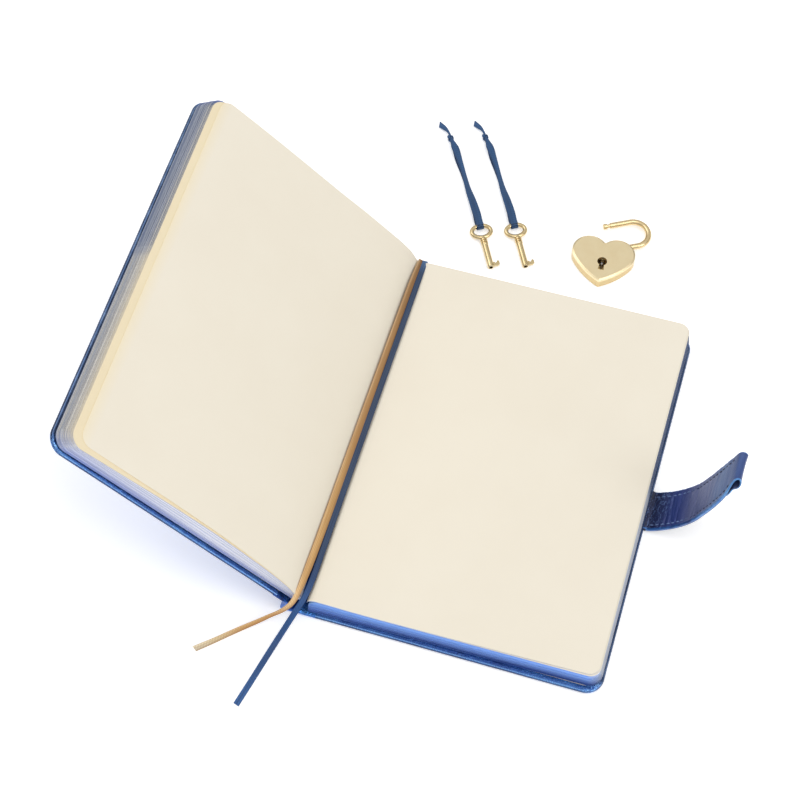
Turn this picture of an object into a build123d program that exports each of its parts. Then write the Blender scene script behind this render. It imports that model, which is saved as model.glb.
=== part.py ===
# Lockable diary: an A5 hard-cover journal lying open on a table, the left half
# raised, with two bookmark ribbons, a closing strap, an open heart padlock and
# two barrel keys on ribbon loops.  Millimetres, +Z up, X towards the fore-edge of
# the half that lies on the table, Y towards the head of the book.  The origin is
# on the outer face of the back cover, on the table.
import os
from math import atan2, cos, degrees, hypot, radians, sin, tan

from build123d import *

os.makedirs("parts", exist_ok=True)

# ---------------------------------------------------------------- book, driving dimensions
GX, GZ = -75.0, 13.4            # gutter axis (runs along Y)
LEAF_W, LEAF_H = 145.0, 204.0   # leaf: gutter to fore-edge, tail to head
LEAF_R = 6.5                    # rounded leaf corners
RIGHT_SLOPE = 1.42              # rise of the right page towards its fore-edge, degrees
LEFT_RISE = 44.5                # the left page stands this far up from the table, degrees
PAGE_GAP = 0.35                 # page faces lie this far off the plane through the gutter axis
SPINE_FACE = 1.8                # distance of the text block's back from the gutter axis
RIGHT_SHOULDER, LEFT_SHOULDER = 5.0, 3.6
RIGHT_FOOT_W = 147.0            # lowest right leaf, fore-edge
LEFT_FOOT_W, LEFT_TOP_W = 149.0, 148.2   # lowest and highest left leaf, fore-edge
LEFT_THICK, LEFT_WEDGE = 5.9, 1.9   # left leaves at the gutter, and their wedge in degrees
SIGNATURES = 5                  # folded signatures in each half

COVER_H, COVER_T, COVER_R = 209.0, 3.0, 9.0
COVER_LEN = 150.1               # hinge line to fore-edge of a cover
JOINT_W = 7.8                   # hinge line to the board
SKIN, TURN_IN = 0.45, 0.3
PAPER = 0.15
BLOCK_Z = COVER_T               # leaves start on the endpaper

# hinge lines of the case, as offsets from the gutter axis in X, and heights
AX, AZ = GX - 1.8, 1.9          # back joint
KX, KZ = GX - 12.5, 0.9         # fold of the spine
BX, BZ = GX - 7.84, 8.59        # front joint
SPINE_T = 1.5

# ---------------------------------------------------------------- strap
STRAP_Y, STRAP_W = -1.0, 22.0
STRAP_FACE, STRAP_BACK = 1.0, 0.8
STRAP_T = STRAP_FACE + STRAP_BACK
H1X, H1Z = GX + 150.5, 1.7      # bend at the cover's edge
H2X, H2Z = GX + 171.5, 26.5     # bend between riser and flap
RISER_SAG = 2.5
FLAP_RISE, FLAP_LEN = 70.3, 32.0
LOOP_L, LOOP_H, LOOP_WALL = 8.6, 7.2, 0.8
LOOP_W = 18.0                   # the rolled end is narrower than the strap
TAB_L, TAB_H = 9.0, 7.8

# ---------------------------------------------------------------- padlock
LOCK_X, LOCK_Y, LOCK_TURN = GX + 91.1, 135.2, 5.0
CASE_T, PLATE_T = 5.2, 1.8
WIRE, WIRE_Z = 3.2, 3.3
PIVOT_U, PIVOT_V = 8.4, 11.4
LEG, SPACING, TOE = 9.8, 15.8, 15.0
SHACKLE_OPEN = 66.0             # degrees from closed to the open rest position
SLOT_Z = 1.35
LATCH_TRAVEL = 1.4

# ---------------------------------------------------------------- keys and ribbons
KEY_BOWS = ((GX + 23.7, 137.15), (GX + 41.3, 143.2))
KEY_AIM = -61.7                 # direction of the stem, degrees
KEY_Z, KEY_TILT = 2.4, 1.35
BOW_A, BOW_B, BOW_WIRE = 12.8, 10.0, 2.4
STEM_R, STEM_BORE, KEY_LEN = 1.8, 1.1, 23.35
RIBBON_D, KEY_RIBBON_D = 1.2, 1.0
KNOT_R = 2.3

# ================================================================ directions
c_r, s_r = cos(radians(RIGHT_SLOPE)), sin(radians(RIGHT_SLOPE))
left_dir = 180.0 - LEFT_RISE
es = (cos(radians(left_dir)), sin(radians(left_dir)))
cover_dir = left_dir + LEFT_WEDGE
ec = (cos(radians(cover_dir)), sin(radians(cover_dir)))
wedge = tan(radians(LEFT_WEDGE))


def right_pt(s, t):
    """Point of the right half in XZ: s along the page from the gutter, t below the page."""
    return (GX + s * c_r + t * s_r, GZ + s * s_r - t * c_r)


def polyface(points):
    """A closed face through points, in the sketch that is open."""
    with BuildLine() as outline:
        Polyline(*points, close=True)
    return make_face(outline.edges())


# planes: left half seen along Y (x along the page, y up from the page), and the covers flat
left_section = Plane(origin=(GX, 0, GZ), x_dir=(es[0], 0, es[1]), z_dir=(0, 1, 0))
front_in = (ec[1], 0, -ec[0])   # from the front cover towards the pages
front_flat = Plane(
    origin=(BX - COVER_T / 2 * front_in[0], 0, BZ - COVER_T / 2 * front_in[2]),
    x_dir=(ec[0], 0, ec[1]),
    z_dir=front_in,
)
back_flat = Plane(origin=(AX, 0, 0), x_dir=(1, 0, 0), z_dir=(0, 0, 1))


def lifted(plane, height):
    return plane.offset(height)


# ================================================================ the two covers
def make_cover(side, flat, strip_low, strip_high, recess):
    """Board, skin with turned-in edges and joint strip, and endpaper of one cover."""
    with BuildPart() as board:
        with BuildSketch(lifted(flat, SKIN)):
            with BuildLine():
                Polyline(
                    (JOINT_W + 0.6, -COVER_H / 2 + 0.5), (COVER_LEN - 0.5, -COVER_H / 2 + 0.5),
                    (COVER_LEN - 0.5, COVER_H / 2 - 0.5), (JOINT_W + 0.6, COVER_H / 2 - 0.5), close=True)
            f = make_face()
            fillet(f.vertices().sort_by(Axis.X)[-2:], COVER_R - 0.5)
        extrude(amount=COVER_T - PAPER - TURN_IN - SKIN)
    whole_board = board.part

    with BuildPart() as skin:
        with BuildSketch(flat):
            with BuildLine():
                Polyline((JOINT_W, -COVER_H / 2), (COVER_LEN, -COVER_H / 2),
                         (COVER_LEN, COVER_H / 2), (JOINT_W, COVER_H / 2), close=True)
            f = make_face()
            fillet(f.vertices().sort_by(Axis.X)[-2:], COVER_R)
        extrude(amount=COVER_T - PAPER)
        outer_face = skin.faces().sort_by(Axis(flat.origin, flat.z_dir))[0]
        fillet(outer_face.edges().sort_by(Axis(flat.origin, flat.x_dir))[1:], 0.4)
        with BuildSketch(lifted(flat, strip_low)):
            with Locations(((JOINT_W + 1.2) / 2, 0)):
                Rectangle(JOINT_W - 1.2, COVER_H)
        extrude(amount=strip_high - strip_low)
        add(whole_board, mode=Mode.SUBTRACT)
        with BuildSketch(lifted(flat, COVER_T - PAPER - TURN_IN)):
            with Locations(((JOINT_W + COVER_LEN) / 2 - 1.5, 0)):
                Rectangle(COVER_LEN - JOINT_W - 31.0, COVER_H - 30.0)
        extrude(amount=TURN_IN, mode=Mode.SUBTRACT)
        if recess:
            with BuildSketch(lifted(flat, H1Z - STRAP_T / 2)):
                with Locations((COVER_LEN - 0.5, STRAP_Y)):
                    Rectangle(3.0, STRAP_W + 0.04)
            extrude(amount=STRAP_T + 0.02, mode=Mode.SUBTRACT)
    skin.part.label = f"{side}_cover_skin"
    export_step(skin.part, f"parts/{side}_cover_skin.step")

    if recess:
        with BuildPart() as board:
            add(whole_board)
            with BuildSketch(lifted(flat, H1Z - STRAP_T / 2)):
                with Locations((COVER_LEN - 14.0, STRAP_Y)):
                    Rectangle(28.0, STRAP_W + 0.04)
            extrude(amount=4.0, mode=Mode.SUBTRACT)
    board.part.label = f"{side}_board"
    export_step(board.part, f"parts/{side}_board.step")

    with BuildPart() as paper:
        with BuildSketch(lifted(flat, COVER_T - PAPER)):
            with BuildLine():
                Polyline((JOINT_W + 0.2, -LEAF_H / 2 + 0.5), (COVER_LEN - 3.3, -LEAF_H / 2 + 0.5),
                         (COVER_LEN - 3.3, LEAF_H / 2 - 0.5), (JOINT_W + 0.2, LEAF_H / 2 - 0.5), close=True)
            f = make_face()
            fillet(f.vertices().sort_by(Axis.X)[-2:], LEAF_R)
        extrude(amount=PAPER)
        with BuildSketch(lifted(flat, COVER_T - PAPER - TURN_IN)):
            with Locations(((JOINT_W + COVER_LEN) / 2 - 1.5, 0)):
                Rectangle(COVER_LEN - JOINT_W - 31.0, COVER_H - 30.0)
        extrude(amount=TURN_IN)
    paper.part.label = f"{side}_endpaper"
    export_step(paper.part, f"parts/{side}_endpaper.step")


make_cover("back", back_flat, 0.5, 2.0, True)
make_cover("front", front_flat, 0.75, 2.25, False)

# ================================================================ right half of the text block
shoulder_mid = SPINE_FACE + RIGHT_SHOULDER * (1 - sin(radians(45)))
foot_t = (GZ + SPINE_FACE * s_r - BLOCK_Z) / c_r
with BuildPart() as right_block:
    with BuildSketch(Plane.XZ):
        with BuildLine():
            Line(right_pt(LEAF_W, PAGE_GAP), right_pt(SPINE_FACE + RIGHT_SHOULDER, PAGE_GAP))
            ThreePointArc(
                right_pt(SPINE_FACE + RIGHT_SHOULDER, PAGE_GAP),
                right_pt(shoulder_mid, PAGE_GAP + RIGHT_SHOULDER * (1 - cos(radians(45)))),
                right_pt(SPINE_FACE, PAGE_GAP + RIGHT_SHOULDER))
            Polyline(
                right_pt(SPINE_FACE, PAGE_GAP + RIGHT_SHOULDER), right_pt(SPINE_FACE, foot_t),
                (GX + RIGHT_FOOT_W, BLOCK_Z), right_pt(LEAF_W, PAGE_GAP))
        make_face()
    extrude(amount=LEAF_H / 2, both=True)
    fore_mid = ((right_pt(LEAF_W, PAGE_GAP)[0] + GX + RIGHT_FOOT_W) / 2, (right_pt(LEAF_W, PAGE_GAP)[1] + BLOCK_Z) / 2)
    corner_edges = [
        right_block.edges().sort_by_distance((fore_mid[0], y, fore_mid[1]))[0] for y in (-LEAF_H / 2, LEAF_H / 2)]
    fillet(corner_edges, LEAF_R)


def between(a, b, f):
    return (a[0] + (b[0] - a[0]) * f, a[1] + (b[1] - a[1]) * f)


for i in range(SIGNATURES):
    lo, hi = i / SIGNATURES, (i + 1) / SIGNATURES
    near = ((GX - 2, BLOCK_Z), right_pt(-2, PAGE_GAP))
    far = ((GX + 152, BLOCK_Z), right_pt(152, PAGE_GAP))
    with BuildPart() as signature:
        add(right_block.part)
        with BuildSketch(Plane.XZ):
            polyface((between(*near, lo), between(*far, lo), between(*far, hi), between(*near, hi)))
        extrude(amount=LEAF_H, both=True, mode=Mode.INTERSECT)
    number = 2 * SIGNATURES - i
    signature.part.label = f"signature_{number:02d}"
    export_step(signature.part, f"parts/signature_{number:02d}.step")

with BuildPart() as right_lining:
    with BuildSketch(Plane.XZ):
        polyface((right_pt(SPINE_FACE - 0.4, PAGE_GAP + RIGHT_SHOULDER + 0.1), right_pt(SPINE_FACE, PAGE_GAP + RIGHT_SHOULDER + 0.1),
                  right_pt(SPINE_FACE, foot_t - 0.3), right_pt(SPINE_FACE - 0.4, foot_t - 0.3)))
    extrude(amount=97.0, both=True)
right_lining.part.label = "right_spine_lining"
export_step(right_lining.part, "parts/right_spine_lining.step")

# the leaf that turns: top leaf of the right half
with BuildPart() as turning_leaf:
    with BuildSketch(Plane.XZ):
        polyface((right_pt(3.6, -0.15), right_pt(LEAF_W, -0.15), right_pt(LEAF_W, 0.15), right_pt(3.6, 0.15)))
    extrude(amount=LEAF_H / 2, both=True)
    tip = right_pt(LEAF_W, 0)
    fillet([turning_leaf.edges().sort_by_distance((tip[0], y, tip[1]))[0] for y in (-LEAF_H / 2, LEAF_H / 2)], LEAF_R)
turning_leaf.part.label = "turning_leaf"
export_step(turning_leaf.part, "parts/turning_leaf.step")

# ================================================================ left half of the text block
left_foot = PAGE_GAP + LEFT_THICK
with BuildPart() as left_block:
    with BuildSketch(left_section):
        with BuildLine():
            Line((LEFT_TOP_W, -PAGE_GAP), (SPINE_FACE + LEFT_SHOULDER, -PAGE_GAP))
            ThreePointArc(
                (SPINE_FACE + LEFT_SHOULDER, -PAGE_GAP),
                (SPINE_FACE + LEFT_SHOULDER * (1 - sin(radians(45))), -PAGE_GAP - LEFT_SHOULDER * (1 - cos(radians(45)))),
                (SPINE_FACE, -PAGE_GAP - LEFT_SHOULDER))
            Polyline(
                (SPINE_FACE, -PAGE_GAP - LEFT_SHOULDER), (SPINE_FACE, -left_foot - wedge * SPINE_FACE),
                (LEFT_FOOT_W, -left_foot - wedge * LEFT_FOOT_W), (LEFT_TOP_W, -PAGE_GAP))
        make_face()
    extrude(amount=LEAF_H / 2, both=True)
    m = left_section.from_local_coords(Vector((LEFT_TOP_W + LEFT_FOOT_W) / 2, -(PAGE_GAP + left_foot + wedge * LEFT_FOOT_W) / 2, 0))
    fillet([left_block.edges().sort_by_distance((m.X, y, m.Z))[0] for y in (-LEAF_H / 2, LEAF_H / 2)], LEAF_R)

for i in range(SIGNATURES):
    lo, hi = i / SIGNATURES, (i + 1) / SIGNATURES
    near = ((-2, -left_foot + 2 * wedge), (-2, -PAGE_GAP))
    far = ((152, -left_foot - 152 * wedge), (152, -PAGE_GAP))
    with BuildPart() as signature:
        add(left_block.part)
        with BuildSketch(left_section):
            polyface((between(*near, lo), between(*far, lo), between(*far, hi), between(*near, hi)))
        extrude(amount=LEAF_H, both=True, mode=Mode.INTERSECT)
    signature.part.label = f"signature_{i + 1:02d}"
    export_step(signature.part, f"parts/signature_{i + 1:02d}.step")

with BuildPart() as left_lining:
    with BuildSketch(left_section):
        polyface(((SPINE_FACE - 0.4, -PAGE_GAP - LEFT_SHOULDER - 0.1), (SPINE_FACE, -PAGE_GAP - LEFT_SHOULDER - 0.1),
                  (SPINE_FACE, -left_foot), (SPINE_FACE - 0.4, -left_foot)))
    extrude(amount=97.0, both=True)
left_lining.part.label = "left_spine_lining"
export_step(left_lining.part, "parts/left_spine_lining.step")

# ================================================================ soft spine, folded at K
low_len, up_len = hypot(KX - AX, KZ - AZ), hypot(BX - KX, BZ - KZ)
# outer side of both strips is on the left of the way A - K - B, seen with X right and Z up
for name, p, q, start, stop in (
        ("spine_lower", (AX, AZ), (KX, KZ), 0.9, low_len - 2.0),
        ("spine_upper", (KX, KZ), (BX, BZ), 2.0, up_len - 1.1)):
    d = hypot(q[0] - p[0], q[1] - p[1])
    e = ((q[0] - p[0]) / d, (q[1] - p[1]) / d)
    strip = Plane(origin=(p[0], 0, p[1]), x_dir=(e[0], 0, e[1]), z_dir=(0, 1, 0))
    # in this plane +y is to the right of the way, the inner side
    with BuildPart() as spine_skin:
        with BuildSketch(strip):
            polyface(((start, -SPINE_T / 2), (stop, -SPINE_T / 2), (stop, -SPINE_T / 2 + 0.5), (start, -SPINE_T / 2 + 0.5)))
        extrude(amount=COVER_H / 2, both=True)
    spine_skin.part.label = f"{name}_skin"
    export_step(spine_skin.part, f"parts/{name}_skin.step")
    with BuildPart() as spine_card:
        with BuildSketch(strip):
            polyface(((start, -SPINE_T / 2 + 0.5), (stop, -SPINE_T / 2 + 0.5), (stop, SPINE_T / 2), (start, SPINE_T / 2)))
        extrude(amount=COVER_H / 2 - 2.0, both=True)
    spine_card.part.label = f"{name}_card"
    export_step(spine_card.part, f"parts/{name}_card.step")

# ================================================================ strap
strap_side = Plane.XZ.offset(-STRAP_Y)
with BuildPart() as strap_base:
    with BuildSketch(lifted(back_flat, H1Z - STRAP_T / 2)):
        with Locations(((COVER_LEN - 27.5 + H1X - AX - 1.2) / 2, STRAP_Y)):
            Rectangle(H1X - AX - 1.2 - (COVER_LEN - 27.5), STRAP_W)
    extrude(amount=STRAP_T - 0.05)
strap_base.part.label = "strap_base"
export_step(strap_base.part, "parts/strap_base.step")

chord = hypot(H2X - H1X, H2Z - H1Z)
chord_dir = degrees(atan2(H2Z - H1Z, H2X - H1X))
riser_r = chord ** 2 / (8 * RISER_SAG) + RISER_SAG / 2
half = degrees(atan2(chord / 2, riser_r - RISER_SAG))
# the riser hangs below its chord, so its centre of curvature is above and to the left
mid = ((H1X + H2X) / 2, (H1Z + H2Z) / 2)
to_centre = radians(chord_dir + 90)
centre = (mid[0] + (riser_r - RISER_SAG) * cos(to_centre), mid[1] + (riser_r - RISER_SAG) * sin(to_centre))
first = chord_dir - 90 - half + degrees(1.2 / riser_r)
sweep_deg = 2 * half - 2 * degrees(1.2 / riser_r)
for name, inner, outer in (
        ("strap_riser_face", riser_r - STRAP_T / 2, riser_r - STRAP_T / 2 + STRAP_FACE),
        ("strap_riser_backing", riser_r - STRAP_T / 2 + STRAP_FACE, riser_r + STRAP_T / 2)):
    with BuildPart() as riser:
        with BuildSketch(strap_side):
            with BuildLine():
                a = CenterArc(centre, inner, first, sweep_deg)
                b = CenterArc(centre, outer, first, sweep_deg)
                Line(a @ 0, b @ 0)
                Line(a @ 1, b @ 1)
            make_face()
        extrude(amount=STRAP_W / 2, both=True)
    riser.part.label = name
    export_step(riser.part, f"parts/{name}.step")

ef = (cos(radians(FLAP_RISE)), sin(radians(FLAP_RISE)))
# plane of the flap seen along Y: x along the flap, y towards its outer side
flap_section = Plane(origin=(H2X, STRAP_Y, H2Z), x_dir=(ef[0], 0, ef[1]), z_dir=(0, 1, 0))
for name, low, high in (
        ("strap_flap_face", -STRAP_T / 2, -STRAP_T / 2 + STRAP_FACE),
        ("strap_flap_backing", -STRAP_T / 2 + STRAP_FACE, STRAP_T / 2)):
    with BuildPart() as flap:
        with BuildSketch(flap_section):
            polyface(((1.2, low), (FLAP_LEN, low), (FLAP_LEN, high), (1.2, high)))
        extrude(amount=STRAP_W / 2, both=True)
    flap.part.label = name
    export_step(flap.part, f"parts/{name}.step")

# rolled loop at the strap's end, with the lap that is sewn back on the flap
with BuildPart() as strap_loop:
    with BuildSketch(flap_section):
        with Locations((FLAP_LEN + LOOP_L / 2 + 0.02, LOOP_H / 2 - STRAP_T / 2)):
            SlotOverall(LOOP_L, LOOP_H)
        polyface(((FLAP_LEN - 7.0, STRAP_T / 2), (FLAP_LEN + 2.5, STRAP_T / 2),
                  (FLAP_LEN + 2.5, STRAP_T / 2 + 0.9), (FLAP_LEN - 7.0, STRAP_T / 2 + 0.9)))
        with Locations((FLAP_LEN + LOOP_L / 2 + 0.02, LOOP_H / 2 - STRAP_T / 2)):
            SlotOverall(LOOP_L - 2 * LOOP_WALL, LOOP_H - 2 * LOOP_WALL, mode=Mode.SUBTRACT)
    extrude(amount=LOOP_W / 2, both=True)
strap_loop.part.label = "strap_loop"
export_step(strap_loop.part, "parts/strap_loop.step")

# tab with a loop on the outside of the front cover, which the strap's loop meets when closed
tab_section = Plane(origin=(front_flat.origin.X, STRAP_Y, front_flat.origin.Z), x_dir=(ec[0], 0, ec[1]), z_dir=(0, 1, 0))
TAB_END = 110.0
with BuildPart() as front_tab:
    with BuildSketch(tab_section):
        with Locations((TAB_END - TAB_L / 2, -TAB_H / 2)):
            SlotOverall(TAB_L, TAB_H)
        polyface(((TAB_END - 28.0, 0), (TAB_END - TAB_L / 2, 0), (TAB_END - TAB_L / 2, -1.1), (TAB_END - 28.0, -1.1)))
        with Locations((TAB_END - TAB_L / 2, -TAB_H / 2)):
            SlotOverall(TAB_L - 2 * LOOP_WALL, TAB_H - 2 * LOOP_WALL, mode=Mode.SUBTRACT)
    extrude(amount=6.0, both=True)
front_tab.part.label = "front_tab"
export_step(front_tab.part, "parts/front_tab.step")


# ================================================================ bookmark ribbons
def route_radii(points, wire):
    """Radius at each corner of a route, as large as its two runs allow."""
    radii = []
    for a, b, c in zip(points, points[1:], points[2:]):
        va, vb = Vector(b) - Vector(a), Vector(c) - Vector(b)
        turn = va.get_angle(vb)
        radii.append(0.45 * min(va.length, vb.length) / tan(radians(turn) / 2))
    print("  route: diameter", wire, "smallest radius", round(min(radii), 2),
          "runs", [round((Vector(q) - Vector(p)).length, 1) for p, q in zip(points, points[1:])])
    return radii


def ribbon(name, points, wire):
    with BuildPart() as cord:
        with BuildLine() as way:
            FilletPolyline(*points, radius=route_radii(points, wire))
        path = way.wires()[0]
        with BuildSketch(Plane(origin=path @ 0, z_dir=path % 0)):
            Circle(wire / 2)
        sweep(path=path)
    print("  ", name, "length", round(path.length, 1), "volume over section x length",
          round(cord.part.volume / (path.length * 3.14159265 * wire ** 2 / 4), 4))
    cord.part.label = name
    export_step(cord.part, f"parts/{name}.step")


GOLD_ROUTE = [(GX + x, y, z) for x, y, z in (
    (0.2, 103.6, 11.9), (0.15, 90.0, 13.3), (0.35, 66.0, 13.7), (0.05, 20.0, 13.4), (0.3, -30.0, 13.7),
    (0.05, -68.0, 13.4), (0.2, -92.0, 13.7), (-0.1, -107.4, 13.2), (-5.9, -111.6, 10.4), (-13.0, -114.5, 6.0),
    (-20.5, -118.0, 2.6), (-29.0, -123.0, 0.75), (-37.5, -129.5, 0.66), (-44.9, -136.4, 0.62))]
BLUE_ROUTE = [(GX + x, y, z) for x, y, z in (
    (1.6, 103.6, 12.1), (1.5, 90.0, 13.4), (1.75, 66.0, 13.8), (1.45, 20.0, 13.5), (1.7, -30.0, 13.8),
    (1.45, -68.0, 13.5), (1.65, -92.0, 13.7), (1.2, -107.2, 11.9), (-2.4, -114.0, 6.8), (-6.4, -121.0, 2.4),
    (-9.4, -130.0, 0.75), (-12.4, -143.5, 0.64), (-16.0, -158.1, 0.62))]
ribbon("bookmark_gold", GOLD_ROUTE, RIBBON_D)
ribbon("bookmark_blue", BLUE_ROUTE, RIBBON_D)


# ================================================================ padlock
def lock_plane(z):
    return Plane(origin=(LOCK_X, LOCK_Y, z), x_dir=(cos(radians(LOCK_TURN)), sin(radians(LOCK_TURN)), 0), z_dir=(0, 0, 1))


LOBE_U, LOBE_V, LOBE_R = 7.3, 5.2, 9.6
DIP = (0, 11.1)
SIDE = (LOBE_U + LOBE_R * cos(radians(-30)), LOBE_V + LOBE_R * sin(radians(-30)))
TIP = (0, -13.2)
SWELL = ((SIDE[0] + TIP[0]) / 2 + 1.35 * 0.722, (SIDE[1] + TIP[1]) / 2 - 1.35 * 0.692)
CROWN = (LOBE_U + LOBE_R * cos(radians(55)), LOBE_V + LOBE_R * sin(radians(55)))


def heart():
    """The heart outline, in the sketch that is open."""
    with BuildLine() as outline:
        for k in (1, -1):
            ThreePointArc((0, DIP[1]), (k * CROWN[0], CROWN[1]), (k * SIDE[0], SIDE[1]))
            ThreePointArc((k * SIDE[0], SIDE[1]), (k * SWELL[0], SWELL[1]), TIP)
    face = make_face(outline.edges())
    fillet(face.vertices().sort_by_distance(DIP)[0], 0.9)
    fillet(face.vertices().sort_by_distance(TIP)[0], 1.4)
    return face


KEYHOLE_V = -0.8
RIVETS = ((-11.4, 1.0), (11.4, 1.0), (0.0, -9.3))
toe_low = degrees(atan2(LEG - TOE, -SPACING)) % 360
with BuildPart() as lock_case:
    with BuildSketch(lock_plane(0)):
        heart()
    extrude(amount=CASE_T)
    fillet(lock_case.faces().sort_by(Axis.Z)[0].edges(), 0.6)
    # slot in the left lobe that the toe swings into
    with BuildSketch(lock_plane(SLOT_Z)):
        with BuildLine():
            a = CenterArc((PIVOT_U, PIVOT_V), SPACING - WIRE / 2 - 0.35, toe_low + 2.5, -(toe_low + 2.5 - 130))
            b = CenterArc((PIVOT_U, PIVOT_V), hypot(SPACING, TOE - LEG) + WIRE / 2 + 0.9, toe_low + 2.5, -(toe_low + 2.5 - 130))
            Line(a @ 0, b @ 0)
            Line(a @ 1, b @ 1)
        make_face()
    extrude(amount=CASE_T, mode=Mode.SUBTRACT)
    # pocket of the heel and the sector that its leg swings through
    with BuildSketch(lock_plane(SLOT_Z)):
        with Locations((PIVOT_U, PIVOT_V)):
            Circle(2.6)
        for turn in range(0, int(SHACKLE_OPEN) + 1, 6):
            t = radians(90 - turn)
            with Locations(Location((PIVOT_U + 6 * cos(t), PIVOT_V + 6 * sin(t)), 90 - turn)):
                Rectangle(12.0, WIRE + 0.7)
    extrude(amount=CASE_T, mode=Mode.SUBTRACT)
    # chamber of the key, and the guide of the latch bolt and its spring
    with BuildSketch(lock_plane(1.2)):
        with Locations((0, KEYHOLE_V)):
            Circle(5.6)
        with Locations((-1.9, 8.6)):
            Rectangle(8.6, 3.3)
        with Locations((-0.9, 5.4)):
            Rectangle(4.2, 5.0)
        with Locations((3.6, 8.6)):
            Rectangle(3.2, 2.5)
    extrude(amount=CASE_T, mode=Mode.SUBTRACT)
    with BuildSketch(lock_plane(0)):
        with Locations(*RIVETS):
            Circle(0.9)
    extrude(amount=CASE_T, mode=Mode.SUBTRACT)
    with BuildSketch(lock_plane(0)):
        with Locations((PIVOT_U, PIVOT_V)):
            Circle(0.85)
        with Locations((0, KEYHOLE_V)):
            Circle(0.8)
    extrude(amount=SLOT_Z, mode=Mode.SUBTRACT)
lock_case.part.label = "lock_case"
export_step(lock_case.part, "parts/lock_case.step")

with BuildPart() as lock_face_plate:
    with BuildSketch(lock_plane(CASE_T)):
        heart()
    extrude(amount=PLATE_T)
    chamfer(lock_face_plate.faces().sort_by(Axis.Z)[-1].edges(), 0.5, 0.9)
    with BuildSketch(lock_plane(CASE_T)):
        with Locations((0, KEYHOLE_V)):
            Circle(2.6)
        polyface(((-1.15, KEYHOLE_V), (1.15, KEYHOLE_V), (1.55, KEYHOLE_V - 5.4), (-1.55, KEYHOLE_V - 5.4)))
    extrude(amount=PLATE_T, mode=Mode.SUBTRACT)
    with BuildSketch(lock_plane(CASE_T)):
        with Locations(*RIVETS):
            Circle(0.9)
    extrude(amount=1.0, mode=Mode.SUBTRACT)
lock_face_plate.part.label = "lock_face_plate"
export_step(lock_face_plate.part, "parts/lock_face_plate.step")

with BuildPart() as rivets:
    with BuildSketch(lock_plane(0.05)):
        with Locations(*RIVETS):
            Circle(0.86)
    extrude(amount=CASE_T + 0.9)
rivets.part.label = "lock_case_rivets"
export_step(rivets.part, "parts/lock_case_rivets.step")

with BuildPart() as drill_pin:
    with BuildSketch(lock_plane(0.05)):
        with Locations((0, KEYHOLE_V)):
            Circle(0.78)
    extrude(amount=4.9)
    chamfer(drill_pin.faces().sort_by(Axis.Z)[-1].edges(), 0.3)
drill_pin.part.label = "lock_drill_pin"
export_step(drill_pin.part, "parts/lock_drill_pin.step")

pivot = lock_plane(WIRE_Z).from_local_coords(Vector(PIVOT_U, PIVOT_V, 0))
turned = LOCK_TURN - SHACKLE_OPEN
shackle_plane = Plane(origin=(pivot.X, pivot.Y, WIRE_Z), x_dir=(cos(radians(turned)), sin(radians(turned)), 0), z_dir=(0, 0, 1))
with BuildPart() as shackle:
    with BuildLine(shackle_plane) as bow:
        Line((0, 0), (0, LEG))
        ThreePointArc((0, LEG), (-SPACING / 2, LEG + SPACING / 2), (-SPACING, LEG))
        Line((-SPACING, LEG), (-SPACING, LEG - TOE))
    path = bow.wires()[0]
    with BuildSketch(Plane(origin=path @ 0, z_dir=path % 0)):
        Circle(WIRE / 2)
    sweep(path=path)
    fillet(shackle.faces().sort_by_distance(path @ 1)[0].edges(), 0.5)
    # round eye at the heel, for the pivot pin
    with BuildSketch(shackle_plane.offset(-WIRE / 2)):
        Circle(2.2)
    extrude(amount=WIRE)
    with BuildSketch(shackle_plane.offset(-WIRE / 2)):
        Circle(0.85)
    extrude(amount=WIRE, mode=Mode.SUBTRACT)
    # neck near the toe that the latch drops into
    neck = Plane(origin=shackle_plane.from_local_coords(Vector(-SPACING, LEG - TOE + 2.0, 0)), z_dir=shackle_plane.y_dir)
    with BuildSketch(neck):
        Circle(WIRE / 2 + 0.5)
        Circle(1.05, mode=Mode.SUBTRACT)
    extrude(amount=1.8, mode=Mode.SUBTRACT)
shackle.part.label = "shackle"
export_step(shackle.part, "parts/shackle.step")

with BuildPart() as pivot_pin:
    with BuildSketch(lock_plane(0.05)):
        with Locations((PIVOT_U, PIVOT_V)):
            Circle(0.79)
    extrude(amount=CASE_T - 0.05)
pivot_pin.part.label = "shackle_pivot_pin"
export_step(pivot_pin.part, "parts/shackle_pivot_pin.step")

# latch bolt, drawn back: nose towards the toe slot, an arm down into the key's chamber
with BuildPart() as latch_bolt:
    with BuildSketch(lock_plane(1.5)):
        with Locations((-1.6, 8.6)):
            Rectangle(5.0, 2.7)
        with Locations((-4.3, 9.1)):
            Rectangle(1.0, 1.3)
        with Locations((0.1, 5.6)):
            Rectangle(1.6, 4.2)
    extrude(amount=3.2)
latch_bolt.part.label = "latch_bolt"
export_step(latch_bolt.part, "parts/latch_bolt.step")

# coil spring behind the bolt, as a plain sleeve of its outer size
spring_at = lock_plane(3.1).from_local_coords(Vector(1.05, 8.6, 0))
u_dir = lock_plane(0).x_dir
with BuildPart() as latch_spring:
    with BuildSketch(Plane(origin=spring_at, z_dir=u_dir)):
        Circle(1.1)
        Circle(0.7, mode=Mode.SUBTRACT)
    extrude(amount=4.0)
latch_spring.part.label = "latch_spring"
export_step(latch_spring.part, "parts/latch_spring.step")

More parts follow.
